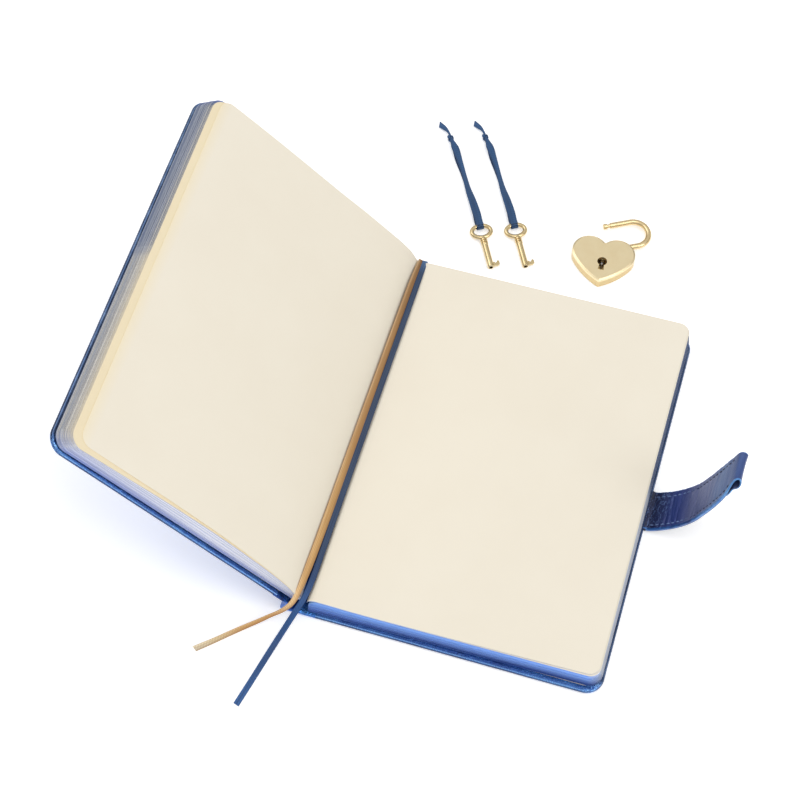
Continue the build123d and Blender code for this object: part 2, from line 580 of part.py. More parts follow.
# ================================================================ keys
# the bow's centre line is an oval of four arcs that meet without a corner
END_R = 3.0
END_C = BOW_A / 2 - BOW_WIRE / 2 - END_R
bow_b = BOW_B / 2 - BOW_WIRE / 2
FLAT_C = (END_C ** 2 - (bow_b - END_R) ** 2) / (2 * (bow_b - END_R))
FLAT_R = FLAT_C + bow_b
END_A = degrees(atan2(FLAT_C, END_C))
for n, (bx, by) in enumerate(KEY_BOWS, 1):
    aim, tilt = radians(KEY_AIM), radians(KEY_TILT)
    along = Vector(cos(aim) * cos(tilt), sin(aim) * cos(tilt), -sin(tilt))
    up = Vector(cos(aim) * sin(tilt), sin(aim) * sin(tilt), cos(tilt))
    key_flat = Plane(origin=(bx, by, KEY_Z), x_dir=along, z_dir=up)   # y to the left of the stem
    stem_start = BOW_B / 2 - 1.4
    with BuildPart() as key:
        # oval bow of round wire
        with BuildLine(key_flat) as ring:
            CenterArc((0, END_C), END_R, 90 - END_A, 2 * END_A)
            CenterArc((FLAT_C, 0), FLAT_R, 180 - (90 - END_A), 2 * (90 - END_A))
            CenterArc((0, -END_C), END_R, 270 - END_A, 2 * END_A)
            CenterArc((-FLAT_C, 0), FLAT_R, -(90 - END_A), 2 * (90 - END_A))
        path = ring.wires()[0]
        with BuildSketch(Plane(origin=path @ 0, z_dir=path % 0)):
            Circle(BOW_WIRE / 2)
        sweep(path=path)
        # stem with its beaded collars, turned about its own axis
        with BuildSketch(Plane(origin=key_flat.origin, x_dir=along, z_dir=key_flat.y_dir)):
            with BuildLine():
                Polyline(
                    (stem_start, 0), (stem_start, 1.2), (5.2, 1.45), (5.4, 1.95), (6.2, 1.95), (6.4, 1.5), (6.7, 1.95),
                    (7.5, 1.95), (7.7, 1.5), (8.0, 1.95), (8.8, 1.95), (9.1, STEM_R), (KEY_LEN - 0.25, STEM_R),
                    (KEY_LEN, STEM_R - 0.25), (KEY_LEN, 0), close=True)
            make_face()
        revolve(axis=Axis(key_flat.origin, along))
        # bit at the end, on the left of the stem, with a small hook
        with BuildSketch(key_flat.offset(-0.6)):
            with BuildLine():
                Polyline((KEY_LEN - 2.9, 1.2), (KEY_LEN - 0.5, 1.2), (KEY_LEN - 0.5, 4.1), (KEY_LEN - 1.2, 5.1),
                         (KEY_LEN - 3.0, 5.1), (KEY_LEN - 3.4, 4.7), (KEY_LEN - 3.4, 3.9), (KEY_LEN - 2.4, 3.6),
                         (KEY_LEN - 2.2, 2.8), (KEY_LEN - 2.9, 2.3), close=True)
            make_face()
        extrude(amount=1.2)
        # hollow barrel
        with BuildSketch(Plane(origin=key_flat.origin + along * (KEY_LEN - 7.0), z_dir=along)):
            Circle(STEM_BORE)
        extrude(amount=8.0, mode=Mode.SUBTRACT)
    key.part.label = f"key_{n}"
    export_step(key.part, f"parts/key_{n}.step")

# ================================================================ ribbon loops of the keys
KNOTS = ((GX - 10.0, 194.5), (GX + 8.3, 200.8))
RIBBON_SHAPE = (
    (73.4, 1.2, 0.62), (67.8, 0.2, 1.4), (61.7, -0.1, 2.3), (54.5, 0.5, 2.5), (43.0, 0.7, 2.35), (28.0, -0.5, 2.3), (15.5, 0.5, 2.5),
    (8.5, 0.2, 3.4), (3.6, 0.0, 4.4), (-2.4, 0.0, 4.4), (-2.4, 0.0, 0.56), (3.6, 0.0, 0.55),
    (10.0, -0.35, 0.56), (20.5, 0.35, 0.58), (34.0, -0.5, 0.56), (47.0, 0.3, 0.6), (55.5, -0.2, 0.9), (60.4, 0.2, 1.7))
for n, ((bx, by), (kx, ky)) in enumerate(zip(KEY_BOWS, KNOTS), 1):
    aim = radians(KEY_AIM)
    fx, fy = bx - 3.8 * cos(aim), by - 3.8 * sin(aim)      # far side of the bow
    d = hypot(kx - fx, ky - fy)
    ex, ey = (kx - fx) / d, (ky - fy) / d
    pts = [(fx + a * d / 61.7 * ex - b * ey, fy + a * d / 61.7 * ey + b * ex, z) for a, b, z in RIBBON_SHAPE]
    ribbon(f"key_ribbon_{n}", pts, KEY_RIBBON_D)
    print("  key ribbon", n, [tuple(round(v, 2) for v in p) for p in pts])
    with BuildPart() as knot:
        with Locations((kx, ky, KNOT_R + 0.02)):
            Sphere(KNOT_R)
    knot.part.label = f"key_ribbon_{n}_knot"
    export_step(knot.part, f"parts/key_ribbon_{n}_knot.step")

print("hinges: back", (AX, AZ), "fold", (KX, KZ), "front", (BX, BZ), "gutter", (GX, GZ))
print("closing: pages", left_dir - RIGHT_SLOPE, "lower", degrees(atan2(KZ - AZ, KX - AX)) + 360 - 90,
      "upper", degrees(atan2(BZ - KZ, BX - KX)) - 90)
print("strap: chord direction", chord_dir, "chord", chord, "H1", (H1X, H1Z), "H2", (H2X, H2Z))
print("shackle pivot", (pivot.X, pivot.Y), "spring", spring_at, "u", u_dir)
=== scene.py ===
import math
from math import atan2, cos, degrees, hypot, pi, radians, sin, sqrt, tan

import bmesh
import bpy
import numpy as np
from mathutils import Matrix, Vector


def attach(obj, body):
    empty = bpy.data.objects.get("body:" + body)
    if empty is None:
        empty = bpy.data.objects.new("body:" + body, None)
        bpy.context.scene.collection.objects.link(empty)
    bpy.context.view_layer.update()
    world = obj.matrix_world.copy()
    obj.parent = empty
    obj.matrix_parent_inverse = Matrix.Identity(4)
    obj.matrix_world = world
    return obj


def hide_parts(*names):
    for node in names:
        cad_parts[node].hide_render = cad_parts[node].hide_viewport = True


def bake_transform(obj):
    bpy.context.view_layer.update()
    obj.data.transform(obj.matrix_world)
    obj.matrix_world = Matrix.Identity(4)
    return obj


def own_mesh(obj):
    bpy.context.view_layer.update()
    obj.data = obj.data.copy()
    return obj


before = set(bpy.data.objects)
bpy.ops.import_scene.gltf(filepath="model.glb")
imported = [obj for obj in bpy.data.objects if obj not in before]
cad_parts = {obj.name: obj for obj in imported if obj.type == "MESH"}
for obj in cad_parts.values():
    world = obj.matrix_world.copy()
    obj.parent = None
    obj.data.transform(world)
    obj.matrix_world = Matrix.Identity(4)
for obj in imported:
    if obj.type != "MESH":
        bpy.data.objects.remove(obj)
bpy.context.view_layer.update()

MM = 0.001
scene = bpy.context.scene

# ------------------------------------------------------------------ dimensions shared with the CAD, millimetres
GX, GZ = -75.0, 13.4
LEAF_W, LEAF_H, LEAF_R = 145.0, 204.0, 6.5
c_r, s_r = cos(radians(1.42)), sin(radians(1.42))
es = (cos(radians(135.5)), sin(radians(135.5)))
et = (-es[1], es[0])
ec = (cos(radians(137.4)), sin(radians(137.4)))
f_in = (ec[1], -ec[0])
AX, AZ = GX - 1.8, 1.9
KX, KZ = GX - 12.5, 0.9
BX, BZ = GX - 7.84, 8.59
H1 = (GX + 150.5, 1.7)
H2 = (GX + 171.5, 26.5)
COVER_H, COVER_LEN, COVER_R = 209.0, 150.1, 9.0
STRAP_Y, STRAP_W = -1.0, 22.0


# ------------------------------------------------------------------ camera at the photograph's view
def make_camera():
    data = bpy.data.cameras.new("camera")
    data.sensor_width = 36.0
    data.lens = 91.456
    data.clip_end = 20.0
    o = bpy.data.objects.new("camera", data)
    scene.collection.objects.link(o)
    turn = (Matrix.Rotation(radians(15.046), 4, "Z") @ Matrix.Rotation(radians(29.720), 4, "X")
            @ Matrix.Rotation(radians(1.579), 4, "Z"))
    o.matrix_world = Matrix.Translation((0.070947, -0.477299, 0.911306)) @ turn
    scene.camera = o


make_camera()


# ------------------------------------------------------------------ mesh helpers
def make_object(name, verts, faces, mats, mat_index=None, uvs=None, sharp=38.0, closed=False):
    """A mesh object from millimetre points; uvs is one pair per vertex, in millimetres; closed turns its faces outwards."""
    mesh = bpy.data.meshes.new(name)
    mesh.from_pydata([tuple(float(c) * MM for c in v) for v in verts], [], faces)
    if closed:
        bm = bmesh.new()
        bm.from_mesh(mesh)
        bmesh.ops.recalc_face_normals(bm, faces=bm.faces[:])
        bm.to_mesh(mesh)
        bm.free()
    for m in mats:
        mesh.materials.append(m)
    if mat_index is not None:
        mesh.polygons.foreach_set("material_index", np.array(mat_index, np.int32))
    mesh.polygons.foreach_set("use_smooth", np.ones(len(mesh.polygons), bool))
    if uvs is not None:
        layer = mesh.uv_layers.new(name="UVMap")
        loops = np.empty(len(mesh.loops), np.int32)
        mesh.loops.foreach_get("vertex_index", loops)
        layer.data.foreach_set("uv", (np.array(uvs, np.float32)[loops] * MM).ravel())
    mesh.set_sharp_from_angle(angle=radians(sharp))
    mesh.update()
    o = bpy.data.objects.new(name, mesh)
    scene.collection.objects.link(o)
    return o


class Build:
    """Collects vertices, faces, material numbers, texture coordinates and the share of fore-edge of one piece."""

    def __init__(self):
        self.v, self.f, self.m, self.uv, self.a = [], [], [], [], []

    def add(self, points, uvs, attr=0.0):
        start = len(self.v)
        self.v += [tuple(p) for p in points]
        self.uv += [tuple(u) for u in uvs]
        self.a += list(attr) if isinstance(attr, (list, tuple)) else [attr] * len(points)
        return start

    def grid(self, points, uvs, mat=0, flip=False, close_i=False, close_j=False, attr=0.0):
        """points[i][j]; faces between neighbours. mat is a number or a function of (i, j)."""
        ni, nj = len(points), len(points[0])
        start = self.add([p for row in points for p in row], [u for row in uvs for u in row], attr)
        for i in range(ni if close_i else ni - 1):
            for j in range(nj if close_j else nj - 1):
                a, b = start + i * nj + j, start + ((i + 1) % ni) * nj + j
                c, d = start + ((i + 1) % ni) * nj + (j + 1) % nj, start + i * nj + (j + 1) % nj
                self.f.append((a, d, c, b) if flip else (a, b, c, d))
                self.m.append(mat(i, j) if callable(mat) else mat)
        return start

    def patch(self, points, uvs, mat, facing, attr=0.0):
        """A grid whose faces look along facing."""
        i, j = (len(points) - 1) // 2, (len(points[0]) - 1) // 2
        a, b, d = (np.array(points[i][j]), np.array(points[i + 1][j]), np.array(points[i][j + 1]))
        self.grid(points, uvs, mat, flip=float(np.dot(np.cross(b - a, d - a), np.array(facing))) < 0, attr=attr)

    def ngon(self, ids, mat=0, flip=False):
        self.f.append(tuple(reversed(ids)) if flip else tuple(ids))
        self.m.append(mat)

    def object(self, name, mats, sharp=38.0, closed=False):
        o = make_object(name, self.v, self.f, mats, self.m, self.uv, sharp, closed)
        if any(self.a):
            o.data.attributes.new("fore", "FLOAT", "POINT").data.foreach_set("value", np.array(self.a, np.float32))
        return o


def smooth_lookup(xs, ys):
    """Monotone cubic interpolation through points."""
    xs, ys = np.array(xs, float), np.array(ys, float)
    h = np.diff(xs)
    d = np.diff(ys) / h
    m = np.zeros(len(xs))
    m[0], m[-1] = d[0], d[-1]
    for i in range(1, len(xs) - 1):
        if d[i - 1] * d[i] > 0:
            w1, w2 = 2 * h[i] + h[i - 1], h[i] + 2 * h[i - 1]
            m[i] = (w1 + w2) / (w1 / d[i - 1] + w2 / d[i])

    def at(x):
        x = min(max(x, xs[0]), xs[-1])
        i = min(max(int(np.searchsorted(xs, x)) - 1, 0), len(xs) - 2)
        t = (x - xs[i]) / h[i]
        return float((1 + 2 * t) * (1 - t) ** 2 * ys[i] + t * (1 - t) ** 2 * h[i] * m[i]
                     + t * t * (3 - 2 * t) * ys[i + 1] + t * t * (t - 1) * h[i] * m[i + 1])

    return at


def left_pt(s, t, y):
    return (GX + s * es[0] + t * et[0] * 1.0, y, GZ + s * es[1] + t * et[1])


def right_pt(s, t, y):
    return (GX + s * c_r + t * s_r, y, GZ + s * s_r - t * c_r)


def front_pt(u, y, w):
    """On the front cover: u from its hinge line, w up from its outer face towards the pages."""
    ox, oz = BX - 1.5 * f_in[0], BZ - 1.5 * f_in[1]
    return (ox + u * ec[0] + w * f_in[0], y, oz + u * ec[1] + w * f_in[1])


def back_pt(u, y, w):
    return (AX + u, y, w)


# ------------------------------------------------------------------ node helpers for the materials
class Nodes:
    def __init__(self, name):
        self.mat = bpy.data.materials.new(name)
        self.mat.use_nodes = True
        self.t = self.mat.node_tree
        self.bsdf = self.t.nodes["Principled BSDF"]

    def new(self, kind, **props):
        n = self.t.nodes.new(kind)
        for k, v in props.items():
            setattr(n, k, v)
        return n

    def link(self, a, b):
        self.t.links.new(a, b)

    def coords(self, kind="Object", scale=(1, 1, 1), turn=0.0):
        c = self.new("ShaderNodeTexCoord")
        m = self.new("ShaderNodeMapping")
        m.inputs["Scale"].default_value = scale
        m.inputs["Rotation"].default_value = (0, 0, turn)
        self.link(c.outputs[kind], m.inputs["Vector"])
        return m.outputs["Vector"]

    def noise(self, vector, scale, detail=3.0, rough=0.55, distortion=0.0):
        n = self.new("ShaderNodeTexNoise")
        n.inputs["Scale"].default_value = scale
        n.inputs["Detail"].default_value = detail
        n.inputs["Roughness"].default_value = rough
        n.inputs["Distortion"].default_value = distortion
        self.link(vector, n.inputs["Vector"])
        return n.outputs["Fac"]

    def voronoi(self, vector, scale, feature="F1", smooth=None):
        n = self.new("ShaderNodeTexVoronoi", feature=feature)
        n.inputs["Scale"].default_value = scale
        if smooth is not None:
            n.inputs["Smoothness"].default_value = smooth
        self.link(vector, n.inputs["Vector"])
        return n.outputs["Distance"]

    def ramp(self, fac, stops, interpolation="LINEAR"):
        n = self.new("ShaderNodeValToRGB")
        n.color_ramp.interpolation = interpolation
        e = n.color_ramp.elements
        while len(e) < len(stops):
            e.new(0.5)
        for i, (p, c) in enumerate(stops):
            e[i].position = p
            e[i].color = (*c, 1.0)
        self.link(fac, n.inputs["Fac"])
        return n.outputs["Color"]

    def mix(self, fac, a, b):
        n = self.new("ShaderNodeMix", data_type="RGBA")
        for value, socket in ((fac, n.inputs[0]), (a, n.inputs[6]), (b, n.inputs[7])):
            if isinstance(value, (int, float)):
                socket.default_value = value
            elif isinstance(value, tuple):
                socket.default_value = (*value, 1.0)
            else:
                self.link(value, socket)
        return n.outputs[2]

    def math(self, op, a, b=None, c=None):
        n = self.new("ShaderNodeMath", operation=op)
        for value, socket in zip((a, b, c), n.inputs):
            if value is None:
                continue
            if isinstance(value, (int, float)):
                socket.default_value = value
            else:
                self.link(value, socket)
        return n.outputs[0]

    def range(self, fac, low, high):
        n = self.new("ShaderNodeMapRange")
        n.inputs["To Min"].default_value = low
        n.inputs["To Max"].default_value = high
        self.link(fac, n.inputs["Value"])
        return n.outputs["Result"]

    def bump(self, height, strength, distance, after=None):
        n = self.new("ShaderNodeBump")
        n.inputs["Strength"].default_value = strength
        n.inputs["Distance"].default_value = distance
        self.link(height, n.inputs["Height"])
        if after is not None:
            self.link(after, n.inputs["Normal"])
        return n.outputs["Normal"]

    def set(self, **sockets):
        for k, v in sockets.items():
            socket = self.bsdf.inputs[k.replace("_", " ")]
            if isinstance(v, tuple):
                socket.default_value = (*v, 1.0) if len(v) == 3 and socket.type == "RGBA" else v
            elif isinstance(v, (int, float)):
                socket.default_value = v
            else:
                self.link(v, socket)
        return self.mat


def srgb(r, g, b):
    return tuple((c / 255 / 12.92) if c / 255 <= 0.04045 else ((c / 255 + 0.055) / 1.055) ** 2.4 for c in (r, g, b))


# ------------------------------------------------------------------ materials
def satin(name, tone_and_light_along, dark, sheen, lit_and_shaded_sides=None):
    """Woven satin ribbon: fine slanted ribs, a darker woven edge and a soft sheen. Its colour is given along its length
    as (millimetres along it, colour), with painted shade and painted highlight; its two long sides can take their own
    colours, a painted highlight on the one and painted shade on the other."""
    n = Nodes(name)
    uv = n.coords("UV")
    ribs = n.new("ShaderNodeTexWave", wave_type="BANDS", bands_direction="DIAGONAL")
    ribs.inputs["Scale"].default_value = 420.0
    ribs.inputs["Distortion"].default_value = 1.2
    ribs.inputs["Detail"].default_value = 2.0
    ribs.inputs["Detail Scale"].default_value = 3.0
    n.link(uv, ribs.inputs["Vector"])
    streak = n.noise(n.coords("UV", (40, 1900, 1)), 1.0, 3.0, 0.6)
    part = n.new("ShaderNodeSeparateXYZ")
    n.link(uv, part.inputs["Vector"])
    # colour along the ribbon, with painted shade and painted highlight along its length
    tone = n.ramp(n.math("MULTIPLY", part.outputs["X"], 1.0 / 0.3), [(at / 300.0, colour) for at, colour in tone_and_light_along])
    # painted highlight on one long side and painted shade on the other
    if lit_and_shaded_sides:
        side = n.math("MULTIPLY_ADD", part.outputs["Y"], 500.0, 0.5)
        tone = n.mix(n.ramp(side, ((0.1, (0.55, 0.55, 0.55)), (0.5, (0, 0, 0)))), tone, lit_and_shaded_sides[0])
        tone = n.mix(n.ramp(side, ((0.55, (0, 0, 0)), (0.95, (0.5, 0.5, 0.5)))), tone, lit_and_shaded_sides[1])
    colour = n.mix(n.ramp(streak, ((0.35, (0.55, 0.55, 0.55)), (0.62, (0.0, 0.0, 0.0)))), tone, dark)
    colour = n.mix(n.range(ribs.outputs["Fac"], 0.0, 0.25), colour, dark)
    rim = n.math("MULTIPLY", n.math("ABSOLUTE", part.outputs["Y"]), 1000.0)
    colour = n.mix(n.ramp(rim, ((0.0, (0, 0, 0)), (0.84, (0, 0, 0)), (1.0, (0.6, 0.6, 0.6)))), colour, dark)
    n.set(Base_Color=colour, Roughness=n.range(streak, 0.42, 0.6), Specular_IOR_Level=0.4, Sheen_Weight=sheen, Sheen_Roughness=0.35,
          Normal=n.bump(ribs.outputs["Fac"], 0.35, 0.00012))
    return n.mat


# bookmark colours paint light: dark brown and slate where they lie in the gutter's shade, lighter on the table; a
# painted highlight on the blue one's head end; the gold one's right side, under the blue ribbon, painted shade and its
# left side a painted highlight
RIBBON_GOLD = satin("ribbon_gold_satin", ((0, srgb(120, 88, 54)), (50, srgb(172, 132, 86)), (110, srgb(184, 140, 88)), (160, srgb(214, 170, 108)), (196, srgb(232, 188, 124)),
                                          (212, srgb(244, 204, 150)), (222, srgb(218, 162, 98)), (240, srgb(228, 180, 116)), (252, srgb(250, 228, 178)), (266, srgb(255, 248, 218))),
                    srgb(176, 128, 76), 0.2, (srgb(120, 84, 56), srgb(246, 220, 176)))
RIBBON_BLUE = satin("ribbon_blue_satin", ((0, srgb(54, 94, 142)), (60, srgb(46, 82, 124)), (300, srgb(46, 82, 126))), srgb(24, 48, 82), 0.08)
RIBBON_NAVY = satin("bookmark_blue_satin", ((0, srgb(86, 122, 166)), (9, srgb(56, 76, 104)), (90, srgb(62, 76, 98)), (180, srgb(56, 76, 106)), (206, srgb(46, 90, 150)), (240, srgb(48, 90, 146)), (266, srgb(56, 104, 166))),
                    srgb(18, 40, 78), 0.08)


# ------------------------------------------------------------------ ribbons: flat strips that follow a smooth route
def route(points, resolution=10):
    """Points read from a smooth spline with these control points, millimetres."""
    curve = bpy.data.curves.new("route", "CURVE")
    curve.dimensions = "3D"
    curve.resolution_u = resolution
    sp = curve.splines.new("NURBS")
    sp.points.add(len(points) - 1)
    for p, co in zip(sp.points, points):
        p.co = (co[0] * MM, co[1] * MM, co[2] * MM, 1.0)
    sp.order_u = 3
    sp.use_endpoint_u = True
    o = bpy.data.objects.new("route", curve)
    scene.collection.objects.link(o)
    bpy.context.view_layer.update()
    mesh = bpy.data.meshes.new_from_object(o)
    line = np.array([v.co for v in mesh.vertices], float) / MM
    bpy.data.objects.remove(o)
    bpy.data.meshes.remove(mesh)
    return line


def strip(name, line, normals, width, mat, thick=0.3, fold=(), slant=0.0):
    """A flat ribbon along a line. normals: (share of the length, direction of its face); width: (share, width seen);
    fold: (share, bend along its middle in degrees)."""
    line = np.array(line)
    step = np.linalg.norm(np.diff(line, axis=0), axis=1)
    along = np.concatenate([[0], np.cumsum(step)])
    share = along / along[-1]
    tangent = np.gradient(line, axis=0)
    tangent /= np.linalg.norm(tangent, axis=1)[:, None]
    keys = np.array([k for k, _ in normals])
    dirs = np.array([d for _, d in normals], float)
    dirs /= np.linalg.norm(dirs, axis=1)[:, None]
    face = np.stack([np.interp(share, keys, dirs[:, k]) for k in range(3)], axis=1)
    bend = np.interp(share, [k for k, _ in fold], [a for _, a in fold]) if fold else np.zeros(len(line))
    broad_at = smooth_lookup([k for k, _ in width], [a for _, a in width])
    columns = np.array([-1.0, -0.93, -0.5, -0.08, 0.08, 0.5, 0.93, 1.0])
    b = Build()
    rows, uvs = [], []
    for i, p in enumerate(line):
        t = tangent[i]
        w = np.cross(t, face[i])
        w /= np.linalg.norm(w)
        n = np.cross(w, t)
        q = p + t * 0
        half = radians(bend[i]) / 2
        broad = broad_at(share[i])
        ring, ruv = [], []
        for side, order in ((1, columns), (-1, columns[::-1])):
            for c in order:
                lateral = c * broad / 2 * cos(half)
                lift = abs(c) * broad / 2 * sin(half) + side * thick / 2 * (0.55 if abs(c) > 0.97 else 1.0)
                shift = slant * c * max(1.0 - along[i] / 2.4, 0.0, 1.0 - (along[-1] - along[i]) / 2.4)
                ring.append(tuple(q + w * lateral + n * lift + t * shift))
                ruv.append((along[i], c))
        rows.append(ring)
        uvs.append(ruv)
    b.grid(rows, uvs, 0, close_j=True)
    k = len(columns) * 2
    b.ngon(list(range(k)), 0, True)
    b.ngon(list(range((len(rows) - 1) * k, len(rows) * k)), 0)
    return b.object(name, [mat], 60.0, True)


def declared(o, line, width, body, nodes):
    line = np.array(line)
    length = float(np.linalg.norm(np.diff(line, axis=0), axis=1).sum()) * MM
    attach(o, body)
    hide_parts(*nodes)
    [tuple(p * MM) for p in line]
    return o


BOOKMARK_W, KEY_RIBBON_W = 3.2, 3.4
gold_route = [(GX + x, y, z) for x, y, z in (
    (-0.5, 103.4, 12.6), (-0.9, 94.0, 15.0), (-1.3, 74.0, 15.4), (-1.6, 46.0, 15.5), (-1.95, 10.0, 15.8), (-2.2, -30.0, 15.9),
    (-2.4, -62.0, 16.1), (-2.8, -88.0, 16.6), (-3.3, -100.0, 16.9), (-4.6, -106.0, 15.0), (-9.0, -108.9, 9.6),
    (-14.4, -111.2, 5.6), (-19.2, -114.3, 2.9), (-25.1, -118.6, 1.3), (-31.2, -123.8, 0.6), (-38.0, -130.2, 0.45), (-44.9, -136.2, 0.4))]
blue_route = [(GX + x, y, z) for x, y, z in (
    (1.7, 103.4, 12.4), (1.8, 94.0, 14.1), (1.75, 74.0, 14.4), (1.55, 40.0, 14.5), (1.2, 0.0, 14.6), (0.95, -40.0, 14.7),
    (0.95, -74.0, 14.7), (0.9, -94.0, 14.6), (-0.3, -102.3, 14.0), (-2.1, -107.0, 11.5), (-3.9, -111.0, 8.4),
    (-5.8, -115.5, 5.0), (-7.8, -121.0, 2.2), (-10.0, -129.0, 0.7), (-12.05, -138.0, 0.5), (-14.3, -148.0, 0.45), (-16.5, -157.5, 0.4))]
gold_line, blue_line = route(gold_route), route(blue_route)
bookmark_gold = strip(
    "bookmark_gold_ribbon", gold_line,
    ((0.0, (0.6, 0.2, 0.8)), (0.08, (0.7, 0, 0.7)), (0.4, (0.62, 0, 0.78)), (0.72, (0.6, 0, 0.8)), (0.78, (0.5, -0.5, 0.7)), (0.84, (0.3, -0.85, 0.45)),
     (0.9, (0.15, -0.6, 0.75)), (0.95, (0.0, -0.1, 0.99)), (1.0, (0, 0, 1))),
    ((0.0, 3.0), (0.1, 3.7), (0.3, 3.9), (0.5, 4.2), (0.7, 4.1), (0.77, 3.2), (0.85, 2.3), (0.92, 2.5), (1.0, 3.1)), RIBBON_GOLD,
    fold=((0.0, 0), (0.1, 12), (0.5, 14), (0.7, 10), (0.78, 4), (1.0, 0)), slant=0.35)
bookmark_blue = strip(
    "bookmark_blue_ribbon", blue_line,
    ((0.0, (-0.1, 0.3, 0.95)), (0.08, (0.05, 0, 0.99)), (0.7, (0.08, 0, 0.99)), (0.76, (0.05, -0.3, 0.95)), (0.81, (0.1, -0.7, 0.7)),
     (0.87, (0.05, -0.6, 0.8)), (0.92, (0, -0.1, 0.99)), (1.0, (0, 0, 1))),
    ((0.0, 2.9), (0.5, 3.1), (0.75, 2.9), (1.0, 3.05)), RIBBON_NAVY, fold=((0.0, 0), (0.1, 8), (0.7, 8), (0.8, 0), (1.0, 0)), slant=-0.15)
declared(bookmark_gold, gold_line, BOOKMARK_W, "back_half", ["bookmark_gold"])
declared(bookmark_blue, blue_line, BOOKMARK_W, "back_half", ["bookmark_blue"])
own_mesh(bookmark_gold)
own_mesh(bookmark_blue)

# ribbon loops of the keys
KEY_AIM = radians(-61.7)
KEY_BOWS = ((GX + 23.7, 137.15), (GX + 41.3, 143.2))
KNOTS = ((GX - 10.0, 194.5), (GX + 8.3, 200.8))
RIBBON_SHAPE = (
    (71.6, 3.4, 0.62), (67.8, 1.3, 1.0), (64.0, 0.1, 1.7), (60.4, -0.1, 2.1), (57.2, -0.1, 2.4), (51.8, -0.5, 2.6), (43.3, -0.75, 2.4), (33.5, -0.7, 2.3),
    (24.5, -0.15, 2.3), (16.3, -0.5, 2.5), (8.5, -0.3, 3.3), (3.0, 0.0, 4.1), (-1.9, 0.0, 4.1), (-1.9, 0.0, 0.56), (3.0, 0.0, 0.5),
    (8.5, -0.3, 0.56), (16.3, -0.45, 0.58), (24.5, -0.15, 0.56), (33.5, -0.6, 0.6), (43.3, -0.7, 0.7), (51.8, -0.5, 0.9), (57.2, -0.1, 1.2), (59.6, 0.0, 1.6))


def knot_mesh(name, at, heading, mat):
    """An overhand knot of flat ribbon, pulled tight and lying on the table."""
    b = Build()
    rows, uvs = [], []
    count = 84
    path = []
    for i in range(count):
        a = 2 * pi * i / count
        x, y, z = sin(a) + 2 * sin(2 * a), cos(a) - 2 * cos(2 * a), -sin(3 * a)
        path.append(np.array((x * 0.74, y * 0.46, z * 0.66)))
    path = np.array(path)
    for i in range(count):
        t = path[(i + 1) % count] - path[i - 1]
        t /= np.linalg.norm(t)
        out = path[i] * np.array((1, 1, 1.6))
        out -= t * np.dot(out, t)
        out /= np.linalg.norm(out)
        w = np.cross(t, out)
        ring, ruv = [], []
        for k in range(10):
            a = 2 * pi * k / 10
            ring.append(path[i] + w * 0.85 * cos(a) + out * 0.40 * sin(a))
            ruv.append((i * 0.4, 0.9 * cos(a)))
        rows.append(ring)
        uvs.append(ruv)
    ca, sa = cos(heading), sin(heading)
    low = min(p[2] for r in rows for p in r)
    rows = [[(at[0] + p[0] * ca - p[1] * sa, at[1] + p[0] * sa + p[1] * ca, 0.15 + p[2] - low) for p in r] for r in rows]
    b.grid(rows, uvs, 0, close_i=True, close_j=True)
    return b.object(name, [mat], 70.0, True)


for n, ((bx, by), (kx, ky)) in enumerate(zip(KEY_BOWS, KNOTS), 1):
    fx, fy = bx - 3.8 * cos(KEY_AIM), by - 3.8 * sin(KEY_AIM)
    d = hypot(kx - fx, ky - fy)
    ex, ey = (kx - fx) / d, (ky - fy) / d
    pts = [(fx + a * d / 61.7 * ex - b * ey, fy + a * d / 61.7 * ey + b * ex, z) for a, b, z in RIBBON_SHAPE]
    line = route(pts)
    side = np.array((-ey, ex, 0.0))
    up = np.array((0.0, 0.0, 1.0))
    out = np.array((-ex, -ey, 0.0))
    loop = strip(
        f"key_{n}_ribbon_loop", line,
        ((0.0, up + side * 0.2), (0.05, up), (0.12, up - side * 0.3), (0.22, up - side * 0.1), (0.3, up + side * 0.35), (0.4, up + side * 0.1),
         (0.47, up + out * 0.2), (0.505, up + out * 0.5), (0.525, out), (0.545, out * 0.4 - up), (0.6, -up), (1.0, -up)),
        ((0.0, 3.2), (0.03, 2.9), (0.06, 1.6), (0.085, 1.3), (0.105, 2.2), (0.145, 4.5), (0.2, 3.3), (0.27, 2.5), (0.33, 2.9), (0.4, 4.0), (0.47, 4.5), (0.505, 4.1),
         (0.53, 3.9), (0.6, 3.7), (0.68, 2.4), (0.75, 1.8), (0.82, 2.5), (0.9, 3.8), (0.96, 2.4), (1.0, 1.4)),
        RIBBON_BLUE, thick=0.28, fold=((0.0, 4), (0.05, 60), (0.08, 60), (0.14, 16), (0.27, 30), (0.35, 14), (0.46, 8), (0.5, 4), (0.56, 0), (1.0, 0)), slant=1.2)
    knot = knot_mesh(f"key_{n}_knot", (kx - 1.3 * ex, ky - 1.3 * ey), atan2(ey, ex), RIBBON_BLUE)
    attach(knot, f"key_{n}")
    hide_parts(f"key_ribbon_{n}_knot")
    declared(loop, line, KEY_RIBBON_W, f"key_{n}", [f"key_ribbon_{n}"])


def paper_material(name, light, dark, edge=None):
    """Uncoated paper with a soft cloudiness and fine fibres; edge is its warmer colour along the fore-edge."""
    n = Nodes(name)
    p = n.coords("Object")
    cloud = n.noise(p, 26.0, 4.0, 0.55)
    fibre = n.noise(n.coords("Object", (1, 1, 1)), 1400.0, 4.0, 0.7)
    tone = n.mix(n.range(cloud, 0.0, 0.8), light, dark)
    if edge:
        at = n.new("ShaderNodeAttribute", attribute_name="fore")
        tone = n.mix(n.range(at.outputs["Fac"], 0.0, 0.9), tone, edge)
    tone = n.mix(n.range(fibre, 0.0, 0.10), tone, dark)
    n.set(Base_Color=tone, Roughness=n.range(fibre, 0.72, 0.92), Specular_IOR_Level=0.25,
          Normal=n.bump(fibre, 0.16, 0.00006))
    return n.mat


